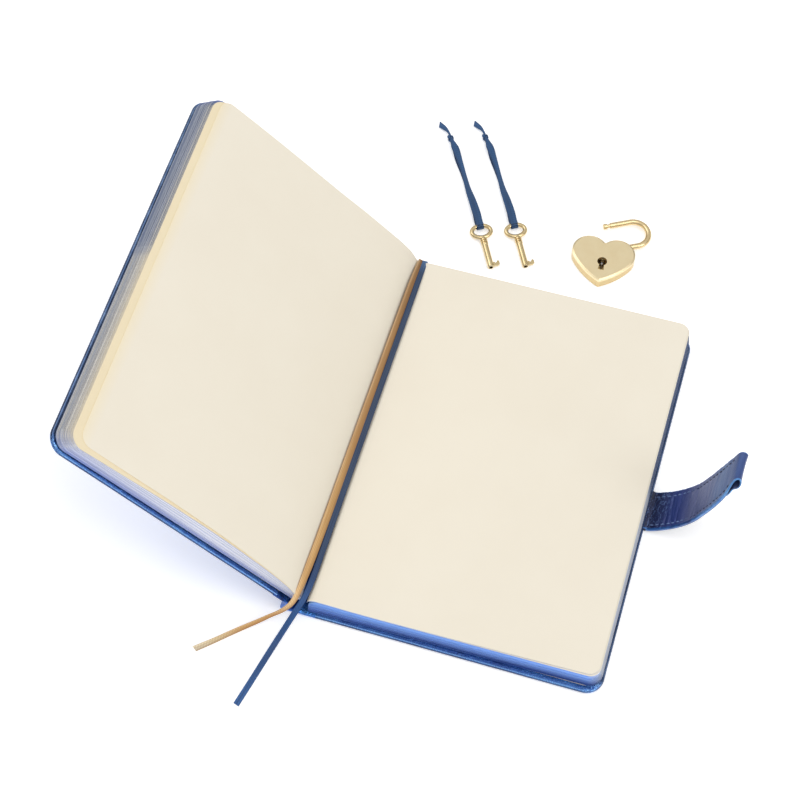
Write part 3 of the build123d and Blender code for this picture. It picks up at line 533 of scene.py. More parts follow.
PAGE = paper_material("page_paper", srgb(240, 233, 217), srgb(234, 225, 207))
PAGE_LEFT = paper_material("page_paper_raised", srgb(240, 233, 217), srgb(234, 225, 207), srgb(240, 226, 192))
PAGE_WARM = paper_material("page_paper_warm", srgb(240, 227, 196), srgb(233, 216, 180))
ENDPAPER = paper_material("endpaper_paper", srgb(233, 226, 210), srgb(224, 215, 196))


def gilt_material(name, tail, fore, strength, crown):
    """Coloured metallic leaf on the cut edges of the pages, with the lines of the separate leaves. tail and fore are
    (light, mid, deep, foot) for the short edges and for the fore-edge, each set painted with the light and reflection
    that way of facing catches; strength how much the leaves differ, foot the darker tone of the lowest leaves beside
    the cover, painted shade, crown the tone of the top leaves at the fore-edge."""
    n = Nodes(name)
    lines = n.noise(n.coords("UV", (3.0, 2600.0, 1)), 1.0, 3.0, 0.75)
    broad = n.noise(n.coords("UV", (4.0, 820.0, 1)), 1.0, 2.0, 0.5)
    leaves = n.noise(n.coords("UV", (2.0, 1500.0, 1)), 1.0, 2.0, 0.6)
    drift = n.noise(n.coords("Object"), 9.0, 2.0, 0.5)
    part = n.new("ShaderNodeSeparateXYZ")
    n.link(n.coords("UV"), part.inputs["Vector"])
    depth = n.math("MULTIPLY", part.outputs["Y"], 1.0 / 0.0115)
    at = n.new("ShaderNodeAttribute", attribute_name="fore")
    tones = []
    for light, mid, deep, foot in (tail, fore):
        a = n.ramp(broad, ((0.5 - 0.2 / strength, deep), (0.5, mid), (0.5 + 0.2 / strength, light)))
        a = n.mix(n.range(lines, 0.0, 0.5), a, light)
        a = n.mix(n.ramp(leaves, ((0.53, (0, 0, 0)), (0.57, (0.42 * strength,) * 3), (0.61, (0, 0, 0)))), a, light)
        a = n.mix(n.ramp(leaves, ((0.38, (0.4 * strength,) * 3), (0.46, (0, 0, 0)))), a, deep)
        # towards the lowest leaves the tone goes to foot: painted shade beside the cover
        tones.append(n.mix(n.ramp(depth, ((0.0, (0, 0, 0)), (0.35, (0.12, 0.12, 0.12)), (0.65, (0.65, 0.65, 0.65)), (0.95, (0.95, 0.95, 0.95)))), a, foot))
    tones[1] = n.mix(n.ramp(depth, ((0.0, (0.9, 0.9, 0.9)), (0.22, (0.5, 0.5, 0.5)), (0.42, (0, 0, 0)))), tones[1], crown)
    # the fore-edge and the short edges take different tones: painted light and reflection by the way each faces
    tone = n.mix(at.outputs["Fac"], tones[0], tones[1])
    tone = n.mix(n.range(drift, 0.0, 0.2), tone, tail[1])
    n.set(Base_Color=tone, Metallic=0.6, Roughness=n.range(lines, 0.4, 0.6), Specular_IOR_Level=0.5,
          Normal=n.bump(lines, 0.4, 0.00012))
    return n.mat


# one gilt on both halves; the right and left copies are painted with the light and reflection each half's edges catch
GILT_RIGHT = gilt_material("gilt_edges_right", (srgb(176, 218, 255), srgb(112, 162, 250), srgb(70, 110, 220), srgb(28, 50, 130)),
                           (srgb(196, 200, 202), srgb(158, 164, 170), srgb(120, 128, 142), srgb(84, 92, 110)), 0.7, srgb(214, 212, 204))
GILT_LEFT = gilt_material("gilt_edges_left", (srgb(250, 250, 252), srgb(204, 208, 226), srgb(124, 140, 196), srgb(58, 104, 200)),
                          (srgb(230, 230, 228), srgb(180, 181, 186), srgb(118, 122, 134), srgb(124, 136, 160)), 1.7, srgb(236, 226, 202))


def leatherette(name, light, mid, dark, metal, rough, scale, coat, depth, foil=False):
    """Foil-coated leatherette: a fine pebbled grain with bright and dark patches. foil: the covers' own, with painted
    shade on the outer side of the edge and on the turn-in beside the leaves, a painted highlight along the crest of the
    edge, painted glints and shade where it is crinkled most, at the corners, and greyer along the fore-edge."""
    n = Nodes(name)
    p = n.coords("Object")
    grain = n.voronoi(p, scale, "SMOOTH_F1", 0.6)
    fine = n.noise(p, scale * 2.6, 3.0, 0.6)
    cloud = n.noise(p, 60.0, 5.0, 0.65)
    tone = n.ramp(cloud, ((0.34, dark), (0.5, mid), (0.66, light)))
    tone = n.mix(n.range(grain, 0.0, 0.45), tone, dark)
    height = n.math("ADD", grain, n.math("MULTIPLY", fine, 0.45))
    if foil:
        part = n.new("ShaderNodeSeparateXYZ")
        n.link(n.coords("UV"), part.inputs["Vector"])
        run = n.math("MULTIPLY", part.outputs["Y"], 1.0 / 0.006)
        # painted shade on the outer side of the edge
        tone = n.mix(n.ramp(run, ((0.02, (0, 0, 0)), (0.2, (0.85, 0.85, 0.85)), (0.47, (0.85, 0.85, 0.85)), (0.53, (0, 0, 0)))), tone, srgb(12, 28, 62))
        # painted highlight along the crest of the edge
        tone = n.mix(n.ramp(run, ((0.49, (0, 0, 0)), (0.54, (0.9, 0.9, 0.9)), (0.58, (0.9, 0.9, 0.9)), (0.63, (0, 0, 0)))), tone, srgb(140, 190, 255))
        # painted shade on the turn-in, darkest beside the leaves and half as dark further in
        tone = n.mix(n.ramp(run, ((0.6, (0, 0, 0)), (0.65, (0.9, 0.9, 0.9)), (0.74, (0.9, 0.9, 0.9)), (0.86, (0.5, 0.5, 0.5)))), tone, srgb(22, 52, 112))
        crinkle = n.noise(p, 1000.0, 4.0, 0.7, 1.4)
        # painted glints and shade on the crinkled foil at the corners
        crinkle_glints = n.ramp(crinkle, ((0.42, srgb(12, 38, 88)), (0.5, srgb(44, 104, 200)), (0.58, srgb(150, 204, 255))))
        crimp = n.new("ShaderNodeAttribute", attribute_name="crimp")
        tone = n.mix(n.range(crimp.outputs["Fac"], 0.07, 0.75), tone, crinkle_glints)
        at = n.new("ShaderNodeAttribute", attribute_name="fore")
        # greyer along the fore-edge
        fore_grey = n.ramp(cloud, ((0.34, srgb(30, 40, 62)), (0.5, srgb(56, 70, 98)), (0.66, srgb(100, 116, 144))))
        tone = n.mix(n.range(at.outputs["Fac"], 0.0, 0.8), tone, fore_grey)
        height = n.math("MULTIPLY", height, n.ramp(run, ((0.04, (1, 1, 1)), (0.2, (0.35, 0.35, 0.35)), (0.66, (0.35, 0.35, 0.35)), (0.8, (1, 1, 1)))))
        height = n.math("ADD", height, n.math("MULTIPLY", crinkle, n.range(crimp.outputs["Fac"], 0.1, 1.0)))
        coat = n.ramp(run, ((0.04, (coat, coat, coat)), (0.2, (0.06, 0.06, 0.06)), (0.49, (0.06, 0.06, 0.06)), (0.55, (0.8, 0.8, 0.8)), (0.62, (0.1, 0.1, 0.1))))
        metal = n.ramp(run, ((0.68, (metal, metal, metal)), (0.8, (0.6, 0.6, 0.6))))
    n.set(Base_Color=tone, Metallic=metal, Roughness=n.range(fine, rough - 0.08, rough + 0.12), Specular_IOR_Level=0.6,
          Coat_Weight=coat, Coat_Roughness=0.12, Normal=n.bump(height, 0.5, depth))
    return n.mat


COVER = leatherette("cover_leatherette_foil", srgb(100, 172, 250), srgb(50, 116, 214), srgb(26, 64, 140), 0.85, 0.25, 800.0, 0.6, 0.0003, True)
COVER_SPINE = leatherette("spine_leatherette_foil", srgb(100, 172, 250), srgb(48, 112, 210), srgb(22, 56, 128), 0.85, 0.25, 800.0, 0.6, 0.0003)


def along_tones(n, stops):
    """Colours by distance along the strap, (millimetres, colour)."""
    part = n.new("ShaderNodeSeparateXYZ")
    n.link(n.coords("UV"), part.inputs["Vector"])
    return n.ramp(n.math("MULTIPLY", part.outputs["X"], 1.0 / 0.1), [(at / 100.0, colour) for at, colour in stops])


def strap_material(name):
    """Glossy creased leather: creases run across the strap, with a fine grain and painted shade in them; darker at its
    base, with a painted sheen where it rises to the flap and painted shade round its rolled end.
    """
    n = Nodes(name)
    across = n.noise(n.coords("UV", (650.0, 110.0, 1)), 1.0, 4.0, 0.62, 0.6)
    grain = n.voronoi(n.coords("UV", (1, 1, 1)), 1000.0, "SMOOTH_F1", 0.5)
    cloud = n.noise(n.coords("UV", (70.0, 45.0, 1)), 1.0, 3.0, 0.55)
    # tones along the strap: darker at the base, a pale painted sheen over the rise to the flap, painted shade round the
    # rolled end
    base = along_tones(n, ((0, srgb(26, 30, 50)), (7, srgb(30, 36, 66)), (13, srgb(36, 54, 116)), (20, srgb(46, 72, 156)), (25, srgb(66, 84, 156)), (31, srgb(112, 122, 172)),
                          (48, srgb(120, 134, 186)), (60, srgb(100, 140, 200)), (67, srgb(72, 116, 184)), (78, srgb(50, 86, 152))))
    tone = n.mix(n.range(cloud, 0.0, 0.55), base, srgb(30, 48, 112))
    # darker in the creases: painted shade
    tone = n.mix(n.range(across, 0.0, 0.55), tone, srgb(20, 32, 84))
    cracks = n.noise(n.coords("UV", (900.0, 420.0, 1)), 1.0, 4.0, 0.7, 1.2)
    low = along_tones(n, ((0, (1, 1, 1)), (12, (1, 1, 1)), (17, (0.3, 0.3, 0.3)), (22, (0, 0, 0))))
    tone = n.mix(n.math("MULTIPLY", n.ramp(cracks, ((0.54, (0, 0, 0)), (0.62, (0.75, 0.75, 0.75)))), low), tone, srgb(112, 140, 196))
    height = n.math("ADD", n.math("ADD", across, n.math("MULTIPLY", grain, 0.5)), n.math("MULTIPLY", n.math("MULTIPLY", cracks, low), 1.2))
    n.set(Base_Color=tone, Metallic=0.3, Roughness=n.range(across, 0.36, 0.54), Specular_IOR_Level=0.6, Coat_Weight=0.45,
          Coat_Roughness=0.36, Normal=n.bump(height, 0.6, 0.0004))
    return n.mat


STRAP = strap_material("strap_leather_creased")
STRAP_EDGE = leatherette("strap_edge_leather", srgb(110, 172, 232), srgb(66, 126, 200), srgb(30, 64, 128), 0.45, 0.3, 1200.0, 0.4, 0.0002)
STRAP_IN = leatherette("strap_lining_leather", srgb(52, 70, 116), srgb(30, 44, 84), srgb(16, 24, 50), 0.1, 0.5, 1000.0, 0.2, 0.0002)


def thread_material():
    n = Nodes("stitch_thread")
    twist = n.new("ShaderNodeTexWave", wave_type="BANDS", bands_direction="DIAGONAL")
    twist.inputs["Scale"].default_value = 900.0
    twist.inputs["Distortion"].default_value = 0.6
    n.link(n.coords("Object"), twist.inputs["Vector"])
    # stitches near the base paler than those on the flap: a painted highlight
    low = along_tones(n, ((0, srgb(120, 146, 196)), (24, srgb(124, 152, 208)), (34, srgb(40, 56, 108)), (44, srgb(20, 28, 66)), (90, srgb(18, 26, 62))))
    tone = n.mix(n.range(twist.outputs["Fac"], 0.0, 0.5), low, srgb(16, 24, 60))
    n.set(Base_Color=tone, Roughness=0.5, Sheen_Weight=0.2, Normal=n.bump(twist.outputs["Fac"], 0.5, 0.0001))
    return n.mat


THREAD = thread_material()


def gold_material(name, light, dark, rough):
    """Pale gold plating, polished, with fine hair lines and a few cloudy spots."""
    n = Nodes(name)
    p = n.coords("Object")
    hair = n.noise(n.coords("Object", (300.0, 2600.0, 800.0), 0.3), 1.0, 3.0, 0.65)
    cloud = n.noise(p, 160.0, 4.0, 0.6)
    tone = n.mix(n.range(cloud, 0.0, 0.9), light, dark)
    tone = n.mix(n.range(hair, 0.0, 0.2), tone, dark)
    n.set(Base_Color=tone, Metallic=1.0, Roughness=n.range(hair, rough - 0.05, rough + 0.12),
          Normal=n.bump(hair, 0.06, 0.00004))
    return n.mat


GOLD = gold_material("gold_plating", srgb(252, 236, 196), srgb(240, 218, 172), 0.28)
GOLD_CASE = gold_material("gold_plating_case", srgb(230, 208, 158), srgb(204, 178, 126), 0.28)
GOLD_BRIGHT = gold_material("gold_plating_polished", srgb(242, 222, 178), srgb(214, 186, 134), 0.2)
GOLD_KEY = gold_material("gold_plating_keys", srgb(242, 224, 180), srgb(192, 164, 114), 0.18)


def plain_metal():
    n = Nodes("plain_steel")
    p = n.coords("Object", (400.0, 3000.0, 400.0))
    hair = n.noise(p, 1.0, 3.0, 0.6)
    tone = n.mix(n.range(hair, 0.0, 0.6), srgb(176, 176, 180), srgb(120, 120, 126))
    n.set(Base_Color=tone, Metallic=1.0, Roughness=n.range(hair, 0.25, 0.45), Normal=n.bump(hair, 0.1, 0.00005))
    return n.mat


STEEL = plain_metal()


def board_material(name, a, b, scale):
    n = Nodes(name)
    flecks = n.noise(n.coords("Object"), scale, 5.0, 0.7)
    tone = n.ramp(flecks, ((0.35, a), (0.65, b)))
    n.set(Base_Color=tone, Roughness=n.range(flecks, 0.8, 0.95), Normal=n.bump(flecks, 0.3, 0.0001))
    return n.mat


BOARD = board_material("greyboard_fibres", srgb(128, 122, 112), srgb(158, 152, 142), 900.0)
CLOTH = board_material("spine_cloth_weave", srgb(206, 200, 186), srgb(230, 226, 214), 1500.0)


# ------------------------------------------------------------------ text block: stacks of cut leaves
rng = np.random.default_rng(11)
WEDGE = tan(radians(1.9))
UP_RIGHT = (-s_r, 0.0, c_r)


def cut_edges(inner_steps, rows):
    """Materials of a slab's top: gilt close to its cut edges, where it shows past the slab above it, and paper inside."""
    return lambda i, j: 1 if i >= inner_steps or j == 0 or (j == rows - 2 and i > 1) else 0


def leaf_stack(b, place, count, level, inner, outer, trims, face_mats, inner_steps=12, rows=18, side_mats=lambda k: 1, corners=lambda k: LEAF_R,
               heads=lambda s, k: 0.0):
    """Slabs of leaves. level(f, s, y) is the depth below the page at share f of the stack, inner(f) and outer(f, k) its
    distances from the gutter, trims(f, s, k) and heads(s, k) what tail and head are short of full height, face_mats and
    side_mats the mats of each slab's top and cut edges, corners its corner radius."""
    up = np.array(place(0, -1, 0)) - np.array(place(0, 0, 0))
    out = np.array(place(1, 0, 0)) - np.array(place(0, 0, 0))
    for k in range(count):
        f0, f1 = k / count, (k + 1) / count
        ds, dy0, dy1 = rng.uniform(-0.22, 0.10), rng.uniform(-0.14, 0.10), rng.uniform(-0.14, 0.10)
        s0, s1 = inner(f1), outer((f0 + f1) / 2, k) + ds
        radius = corners(k)
        ss = list(np.linspace(s0, s1 - radius, inner_steps, endpoint=False))
        ss += [s1 - radius + radius * sin(q / 9 * pi / 2) for q in range(10)]
        rise = [0.0] * inner_steps + [q / 9 for q in range(10)]
        top, bottom, uv = [], [], []
        for s in ss:
            d = max(s - (s1 - radius), 0.0)
            h = LEAF_H / 2 - radius + sqrt(max(radius ** 2 - d * d, 0.0))
            lo, hi = -h - dy0 + trims(f1, s, k), h + dy1 - heads(s, k)
            ys = np.linspace(lo, hi, rows)
            top.append([place(s, level(f1, s, y), y) for y in ys])
            bottom.append([place(s, level(f0, s, y), y) for y in ys])
            uv.append([(s, y) for y in ys])
        b.patch(top, uv, face_mats(k), up, [r for r in rise for _ in range(rows)])
        if k == 0:
            b.patch(bottom, uv, 0, -up)
        thick0, thick1 = level(f0, 100.0, -100.0), level(f1, 100.0, -100.0)
        for j, facing in ((0, (0, -1, 0)), (rows - 1, (0, 1, 0))):
            pts = [[bottom[i][j], top[i][j]] for i in range(len(ss))]
            b.patch(pts, [[(ss[i], thick0), (ss[i], thick1)] for i in range(len(ss))], side_mats(k), facing, [r for r in rise for _ in (0, 1)])
        pts = [[bottom[-1][j], top[-1][j]] for j in range(rows)]
        b.patch(pts, [[(uv[-1][j][1], thick0), (uv[-1][j][1], thick1)] for j in range(rows)], side_mats(k), out, 1.0)
        pts = [[bottom[0][j], top[0][j]] for j in range(rows)]
        b.patch(pts, [[(uv[0][j][1], thick0), (uv[0][j][1], thick1)] for j in range(rows)], 0, -out)


def shoulder(depth, radius):
    """How far the back of the block is drawn in at this depth below the page face."""
    return radius - sqrt(max(radius ** 2 - max(radius - depth, 0.0) ** 2, 0.0))


# right half: lies on the back cover
swell_at = smooth_lookup((1.8, 3.0, 5.0, 8.0, 14.0, 24.0, 40.0), (0.0, 0.5, 1.0, 1.15, 0.9, 0.35, 0.0))


def swell(s, y):
    """The pages stand up a little beside the gutter at the tail."""
    return swell_at(s) * min(max(-y / 102.0, 0.0), 1.0) ** 2


def right_level(f, s, y):
    foot = (GZ + s * s_r - 3.0) / c_r
    return foot + (0.35 - swell(s, y) - foot) * f


b = Build()
leaf_stack(b, right_pt, 26, right_level, lambda f: 1.8 + shoulder(10.0 * (1 - f), 5.0), lambda f, k: 147.0 - 1.4 * f,
           lambda f, s, k: (1 - f) * (1.7 * s / 147.0 - 0.8), lambda k: 0 if k == 25 else cut_edges(24, 14), inner_steps=24, rows=14, corners=lambda k: 6.8 - 1.4 * k / 25)
right_block = b.object("right_leaves", [PAGE, GILT_RIGHT])
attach(right_block, "back_half")
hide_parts(*[f"signature_{i:02d}" for i in range(6, 11)])


# left half: lower leaves lie flat on the raised cover
def left_level(f, s, y):
    foot = 6.25 + WEDGE * s
    return foot + (0.35 - foot) * 0.8 * f


b = Build()
leaf_stack(b, left_pt, 16, left_level, lambda f: 1.8 + shoulder(5.9 * (1 - 0.8 * f), 3.6) - 1.7 * f * f, lambda f, k: 151.2 - 2.2 * f,
           lambda f, s, k: -0.9 * (s / 148.0) ** 2, lambda k: cut_edges(12, 12), rows=12, corners=lambda k: 7.6,
           heads=lambda s, k: 1.2 * (s / 148.0) ** 2)
left_block = b.object("left_leaves", [PAGE_WARM, GILT_LEFT])
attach(left_block, "left_pages")
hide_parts(*[f"signature_{i:02d}" for i in range(1, 5)])

# upper leaves of the left half bow up from it, more at the tail than at the head
tail_arch = smooth_lookup((1.8, 3.5, 5.5, 8, 12, 20, 34, 60, 90, 120, 140, 149), (2.4, 1.3, 0.7, -0.4, -1.9, -3.6, -5.2, -6.3, -5.3, -2.7, -0.9, 0.2))
head_arch = smooth_lookup((1.8, 3.5, 5.5, 8, 12, 18, 40, 64, 107, 140, 149), (2.0, 1.0, 0.2, -0.7, -1.4, -1.9, -1.9, -1.2, -0.9, 0.0, 0.3))


def arch(s, y):
    w = min(max((102.0 - y) / 204.0, 0.0), 1.0) ** 1.3
    return head_arch(s) * (1 - w) + tail_arch(s) * w


def upper_level(f, s, y):
    foot = 1.53 + 0.00664 * s
    return foot + (arch(s, y) - foot) * f


b = Build()
leaf_stack(b, left_pt, 14, upper_level, lambda f: 1.8 - 0.8 * f, lambda f, k: 144.7 if k == 13 else 148.8 - 0.2 * f,
           lambda f, s, k: (1.9 if k == 13 else -0.9) * (s / 144.0) ** 2, lambda k: 3 if k == 13 else 2 if k == 12 else cut_edges(34, 30), inner_steps=34, rows=30,
           side_mats=lambda k: 2 if k >= 12 else 1, corners=lambda k: 6.4 if k == 13 else 7.2,
           heads=lambda s, k: 1.2 * (s / 148.0) ** 2 + (0.0 if k == 13 else 1.6 * min(max((s - 122.0) / 22.0, 0.0), 1.0) ** 2))
left_upper = b.object("left_upper_leaves", [PAGE, GILT_LEFT, PAGE_WARM, PAGE_LEFT])
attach(left_upper, "left_pages")
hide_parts("signature_05")
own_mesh(left_upper)

# the leaf that turns lies on the right half and dips into the gutter
dip = smooth_lookup((1.2, 1.8, 2.6, 4.0, 8.0, 14.0, 60.0, 110.0, 145.0), (2.2, 1.2, 0.5, 0.1, 0.0, -0.05, -0.03, -0.06, 0.02))
TURN_R = 5.0
b = Build()
ss = list(np.concatenate([np.linspace(1.2, 10.0, 16, endpoint=False), np.linspace(10.0, 145.0 - TURN_R, 40, endpoint=False)]))
ss += [145.0 - TURN_R + TURN_R * sin(q / 10 * pi / 2) for q in range(11)]
rows_y = 24
top, bottom, uv = [], [], []
for s in ss:
    d = max(s - (145.0 - TURN_R), 0.0)
    h = LEAF_H / 2 - TURN_R + sqrt(max(TURN_R ** 2 - d * d, 0.0))
    ys = np.linspace(-h + 0.9 * (s / 145.0) ** 2, h, rows_y)
    top.append([right_pt(s, dip(s) - swell(s, y) - 0.10 - 0.05 * sin(y / 31.0 + s / 40.0), y) for y in ys])
    bottom.append([right_pt(s, dip(s) - swell(s, y) + 0.10 - 0.05 * sin(y / 31.0 + s / 40.0), y) for y in ys])
    uv.append([(s, y) for y in ys])
b.patch(top, uv, 0, UP_RIGHT)
b.patch(bottom, uv, 0, (s_r, 0, -c_r))
for j, facing in ((0, (0, -1, 0)), (rows_y - 1, (0, 1, 0))):
    b.patch([[bottom[i][j], top[i][j]] for i in range(len(ss))], [[(ss[i], 0.0), (ss[i], 0.2)] for i in range(len(ss))], 1, facing)
b.patch([[bottom[-1][j], top[-1][j]] for j in range(rows_y)], [[(uv[-1][j][1], 0.0), (uv[-1][j][1], 0.2)] for j in range(rows_y)], 1, (1, 0, 0), 1.0)
turning = b.object("turning_leaf_paper", [PAGE, GILT_RIGHT])
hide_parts("turning_leaf")
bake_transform(turning)


# ------------------------------------------------------------------ covers: padded boards with turned-in leatherette
CORNER_STEPS = 32


def outline(inset, head_in, side_steps=40):
    """Rounded outline of a cover, counted from the joint at the tail round the fore-edge to the joint at the head, with
    how far round a corner each point is. head_in is what the head corner is drawn in by the tight turn-in."""
    pts = []
    r = COVER_R - inset
    x0, x1, h, top = 7.8 + inset * 0.25, COVER_LEN - inset - 0.1 * head_in, COVER_H / 2 - inset - 0.2 * head_in, COVER_H / 2 - inset - head_in
    for k in range(side_steps):
        pts.append((x0 + (x1 - r - x0) * k / side_steps, -h, 0.0))
    for k in range(CORNER_STEPS + 1):
        a = -pi / 2 + pi / 2 * k / CORNER_STEPS
        pts.append((x1 - r + r * cos(a), -h + r + r * sin(a), sin(2 * (a + pi / 2)) if 0 < k < CORNER_STEPS else 0.0))
    for k in range(1, 60):
        pts.append((x1, -h + r + (h + top - 2 * r) * k / 60, 0.0))
    for k in range(CORNER_STEPS + 1):
        a = pi / 2 * k / CORNER_STEPS
        pts.append((x1 - r + r * cos(a), top - r + r * sin(a), sin(2 * a) if 0 < k < CORNER_STEPS else 0.0))
    for k in range(1, side_steps + 1):
        pts.append((x1 - r + (x0 - x1 + r) * k / side_steps, top + (h - top) * (k / side_steps) ** 2, 0.0))
    return [(u - 0.3 * head_in * (v + 105.0) / 210.0 * u / 150.0, v, corner) for u, v, corner in pts]


def cover_shell(name, place, body, nodes, seed, head_in):
    """Outer face, rounded edge and turned-in border of one cover, with pleats where it is gathered round a corner."""
    gen = np.random.default_rng(seed)
    wave = gen.uniform(0, 2 * pi, 4)
    rounding, thick = 1.25, 2.85
    profile = []
    for k in range(6):
        a = -pi / 2 + pi / 2 * k / 5
        profile.append((rounding - rounding * cos(a), rounding + rounding * sin(a), 0.0))
    for k in range(6):
        a = pi / 2 * k / 5
        profile.append((rounding - rounding * cos(a), thick - rounding + rounding * sin(a), 0.25 * k / 5))
    for inset, rise, pleat in ((1.7, 0.06, 0.5), (2.3, 0.12, 0.8), (3.0, 0.14, 1.0), (4.0, 0.12, 1.0), (5.2, 0.04, 0.7), (6.8, 0.0, 0.3)):
        profile.append((inset, thick + rise, pleat))
    b = Build()
    rows, uvs, fore_share = [], [], []
    rim = outline(0, head_in)
    length = np.cumsum([0] + [hypot(p[0] - q[0], p[1] - q[1]) for p, q in zip(rim[1:], rim)])
    run = 0.0
    for k, (inset, w, pleat) in enumerate(profile):
        if k:
            run += hypot(inset - profile[k - 1][0], w - profile[k - 1][1])
        row, ruv = [], []
        tail_end, head_start = 40 + CORNER_STEPS // 2, 40 + CORNER_STEPS + 1 + 59 + CORNER_STEPS // 2
        for i, (u, v, corner) in enumerate(outline(inset, head_in)):
            # share of the fore-edge on the rim and turn-in, where the foil is made greyer
            fore_share.append(0.0 if k < 3 else min(max(min(i - tail_end, head_start - i) / 12.0, 0.0), 1.0))
            sag = 0.05 * sin(length[i] / 23.0 + wave[0]) + 0.04 * sin(length[i] / 7.1 + wave[1]) + 0.025 * sin(length[i] / 2.7 + wave[3])
            fold = pleat * corner * (0.16 + 0.2 * sin(length[i] * 4.1 + wave[2] + inset * 0.6))
            row.append(place(u, v, w - fold + (sag if 0.6 < w < 2.4 else 0.0)))
            ruv.append((length[i], run))
        rows.append(row)
        uvs.append(ruv)
    first = b.grid(rows, uvs, 0, attr=fore_share)
    n = len(rows[0])
    b.ngon(list(range(first, first + n)), 0, True)
    b.ngon(list(range(first + (len(rows) - 1) * n, first + len(rows) * n)), 0)
    for side in (0, n - 1):
        b.ngon([first + k * n + side for k in range(len(rows))], 0, side == 0)
    last = first + (len(rows) - 1) * n
    b.ngon([first, first + n - 1, last + n - 1, last], 0)
    o = b.object(name, [COVER], 50.0, True)
    mesh = o.data
    crimp = np.zeros(len(mesh.vertices), np.float32)
    crimp[first:first + len(rows) * n] = [corner for _ in rows for _, _, corner in rim]
    mesh.attributes.new("crimp", "FLOAT", "POINT").data.foreach_set("value", crimp)
    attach(o, body)
    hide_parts(*nodes)
    return o


cover_shell("back_cover_leatherette", back_pt, "back_half", ["back_cover_skin"], 3, 0.0)
front_shell = cover_shell("front_cover_leatherette", front_pt, "front_cover", ["front_cover_skin"], 5, 2.3)


# ------------------------------------------------------------------ bent strips: spine, strap and tab
def rounded_way(points, setbacks, step=0.5):
    """Points along a bent line in XZ; each inner corner becomes a smooth bend that starts setback before it."""
    pts = [np.array(p, float) for p in points]
    way = [pts[0]]
    for i in range(1, len(pts) - 1):
        a, c = pts[i - 1] - pts[i], pts[i + 1] - pts[i]
        p0, p2 = pts[i] + a / np.linalg.norm(a) * setbacks[i - 1], pts[i] + c / np.linalg.norm(c) * setbacks[i - 1]
        for k in range(9):
            t = k / 8
            way.append(p0 * (1 - t) ** 2 + pts[i] * 2 * t * (1 - t) + p2 * t * t)
    way.append(pts[-1])
    return even_way(way, step)


def even_way(points, step=0.5):
    pts = np.array(points, float)
    d = np.concatenate([[0], np.cumsum(np.linalg.norm(np.diff(pts, axis=0), axis=1))])
    n = max(int(round(d[-1] / step)), 2)
    at = np.linspace(0, d[-1], n + 1)
    return np.stack([np.interp(at, d, pts[:, k]) for k in range(2)], axis=1)


def left_normals(way):
    t = np.gradient(way, axis=0)
    t /= np.linalg.norm(t, axis=1)[:, None]
    return np.stack([-t[:, 1], t[:, 0]], axis=1), t


def bent_strip(name, way, half_face, half_back, ys, body_shape, mats, mat_of, warp=None, normals=None, across=lambda d, y: y, start=0.0):
    """A strip of leather along a line in XZ and across ys. half_face and half_back give the offset of its two faces at
    (distance along, y), body_shape the rounding at its two edges, mat_of the material at a column (0 face, 1 edge, 2 back),
    across the real place of column y at a distance along, start the distance along at its first point."""
    n, _ = left_normals(way) if normals is None else (normals, None)
    d = np.concatenate([[0], np.cumsum(np.linalg.norm(np.diff(way, axis=0), axis=1))])
    b = Build()
    rows, uvs = [], []
    m = len(ys)
    for i, p in enumerate(way):
        ring, ruv = [], []
        for side in (1, -1):
            for j in (range(m) if side == 1 else range(m - 1, -1, -1)):
                off = half_face(d[i], ys[j]) if side == 1 else -half_back(d[i], ys[j])
                off *= body_shape[j]
                q = p if warp is None else warp(i, d[i], ys[j], p)
                ring.append((q[0] + n[i][0] * off, across(d[i], ys[j]), q[1] + n[i][1] * off))
                ruv.append((d[i] + start, ys[j]))
        rows.append(ring)
        uvs.append(ruv)

    def mat(i, j):
        if j == m - 1 or j == 2 * m - 1:
            return 1
        return mat_of(j if j < m else 2 * m - 2 - j, 0 if j < m else 2)

    first = b.grid(rows, uvs, mat, flip=True, close_j=True)
    k = 2 * m
    b.ngon(list(range(first, first + k)), 1)
    b.ngon(list(range(first + (len(rows) - 1) * k, first + len(rows) * k)), 1, True)
    return b.object(name, mats, 50.0, True)


def stitch_row(b, places):
    """Short raised stitches; each place is (middle, direction along, direction out, half length, distance along)."""
    for mid, along, out, half, at in places:
        mid, along, out = np.array(mid), np.array(along), np.array(out)
        side = np.cross(along, out)
        rings, ruv = [], []
        for t in (-1.0, -0.8, -0.3, 0.3, 0.8, 1.0):
            r = 0.34 * sqrt(max(1 - (abs(t) ** 3), 0.02))
            lift = 0.12 * (1 - t * t) - 0.06
            rings.append([mid + along * half * t + out * (lift + r * sin(a)) + side * r * cos(a) for a in np.linspace(0, 2 * pi, 8, endpoint=False)])
            ruv.append([(at + t * half, r * k) for k in range(8)])
        first = b.grid(rings, ruv, 0, close_j=True)
        b.ngon(list(range(first, first + 8)), 0, True)
        b.ngon(list(range(first + 40, first + 48)), 0)


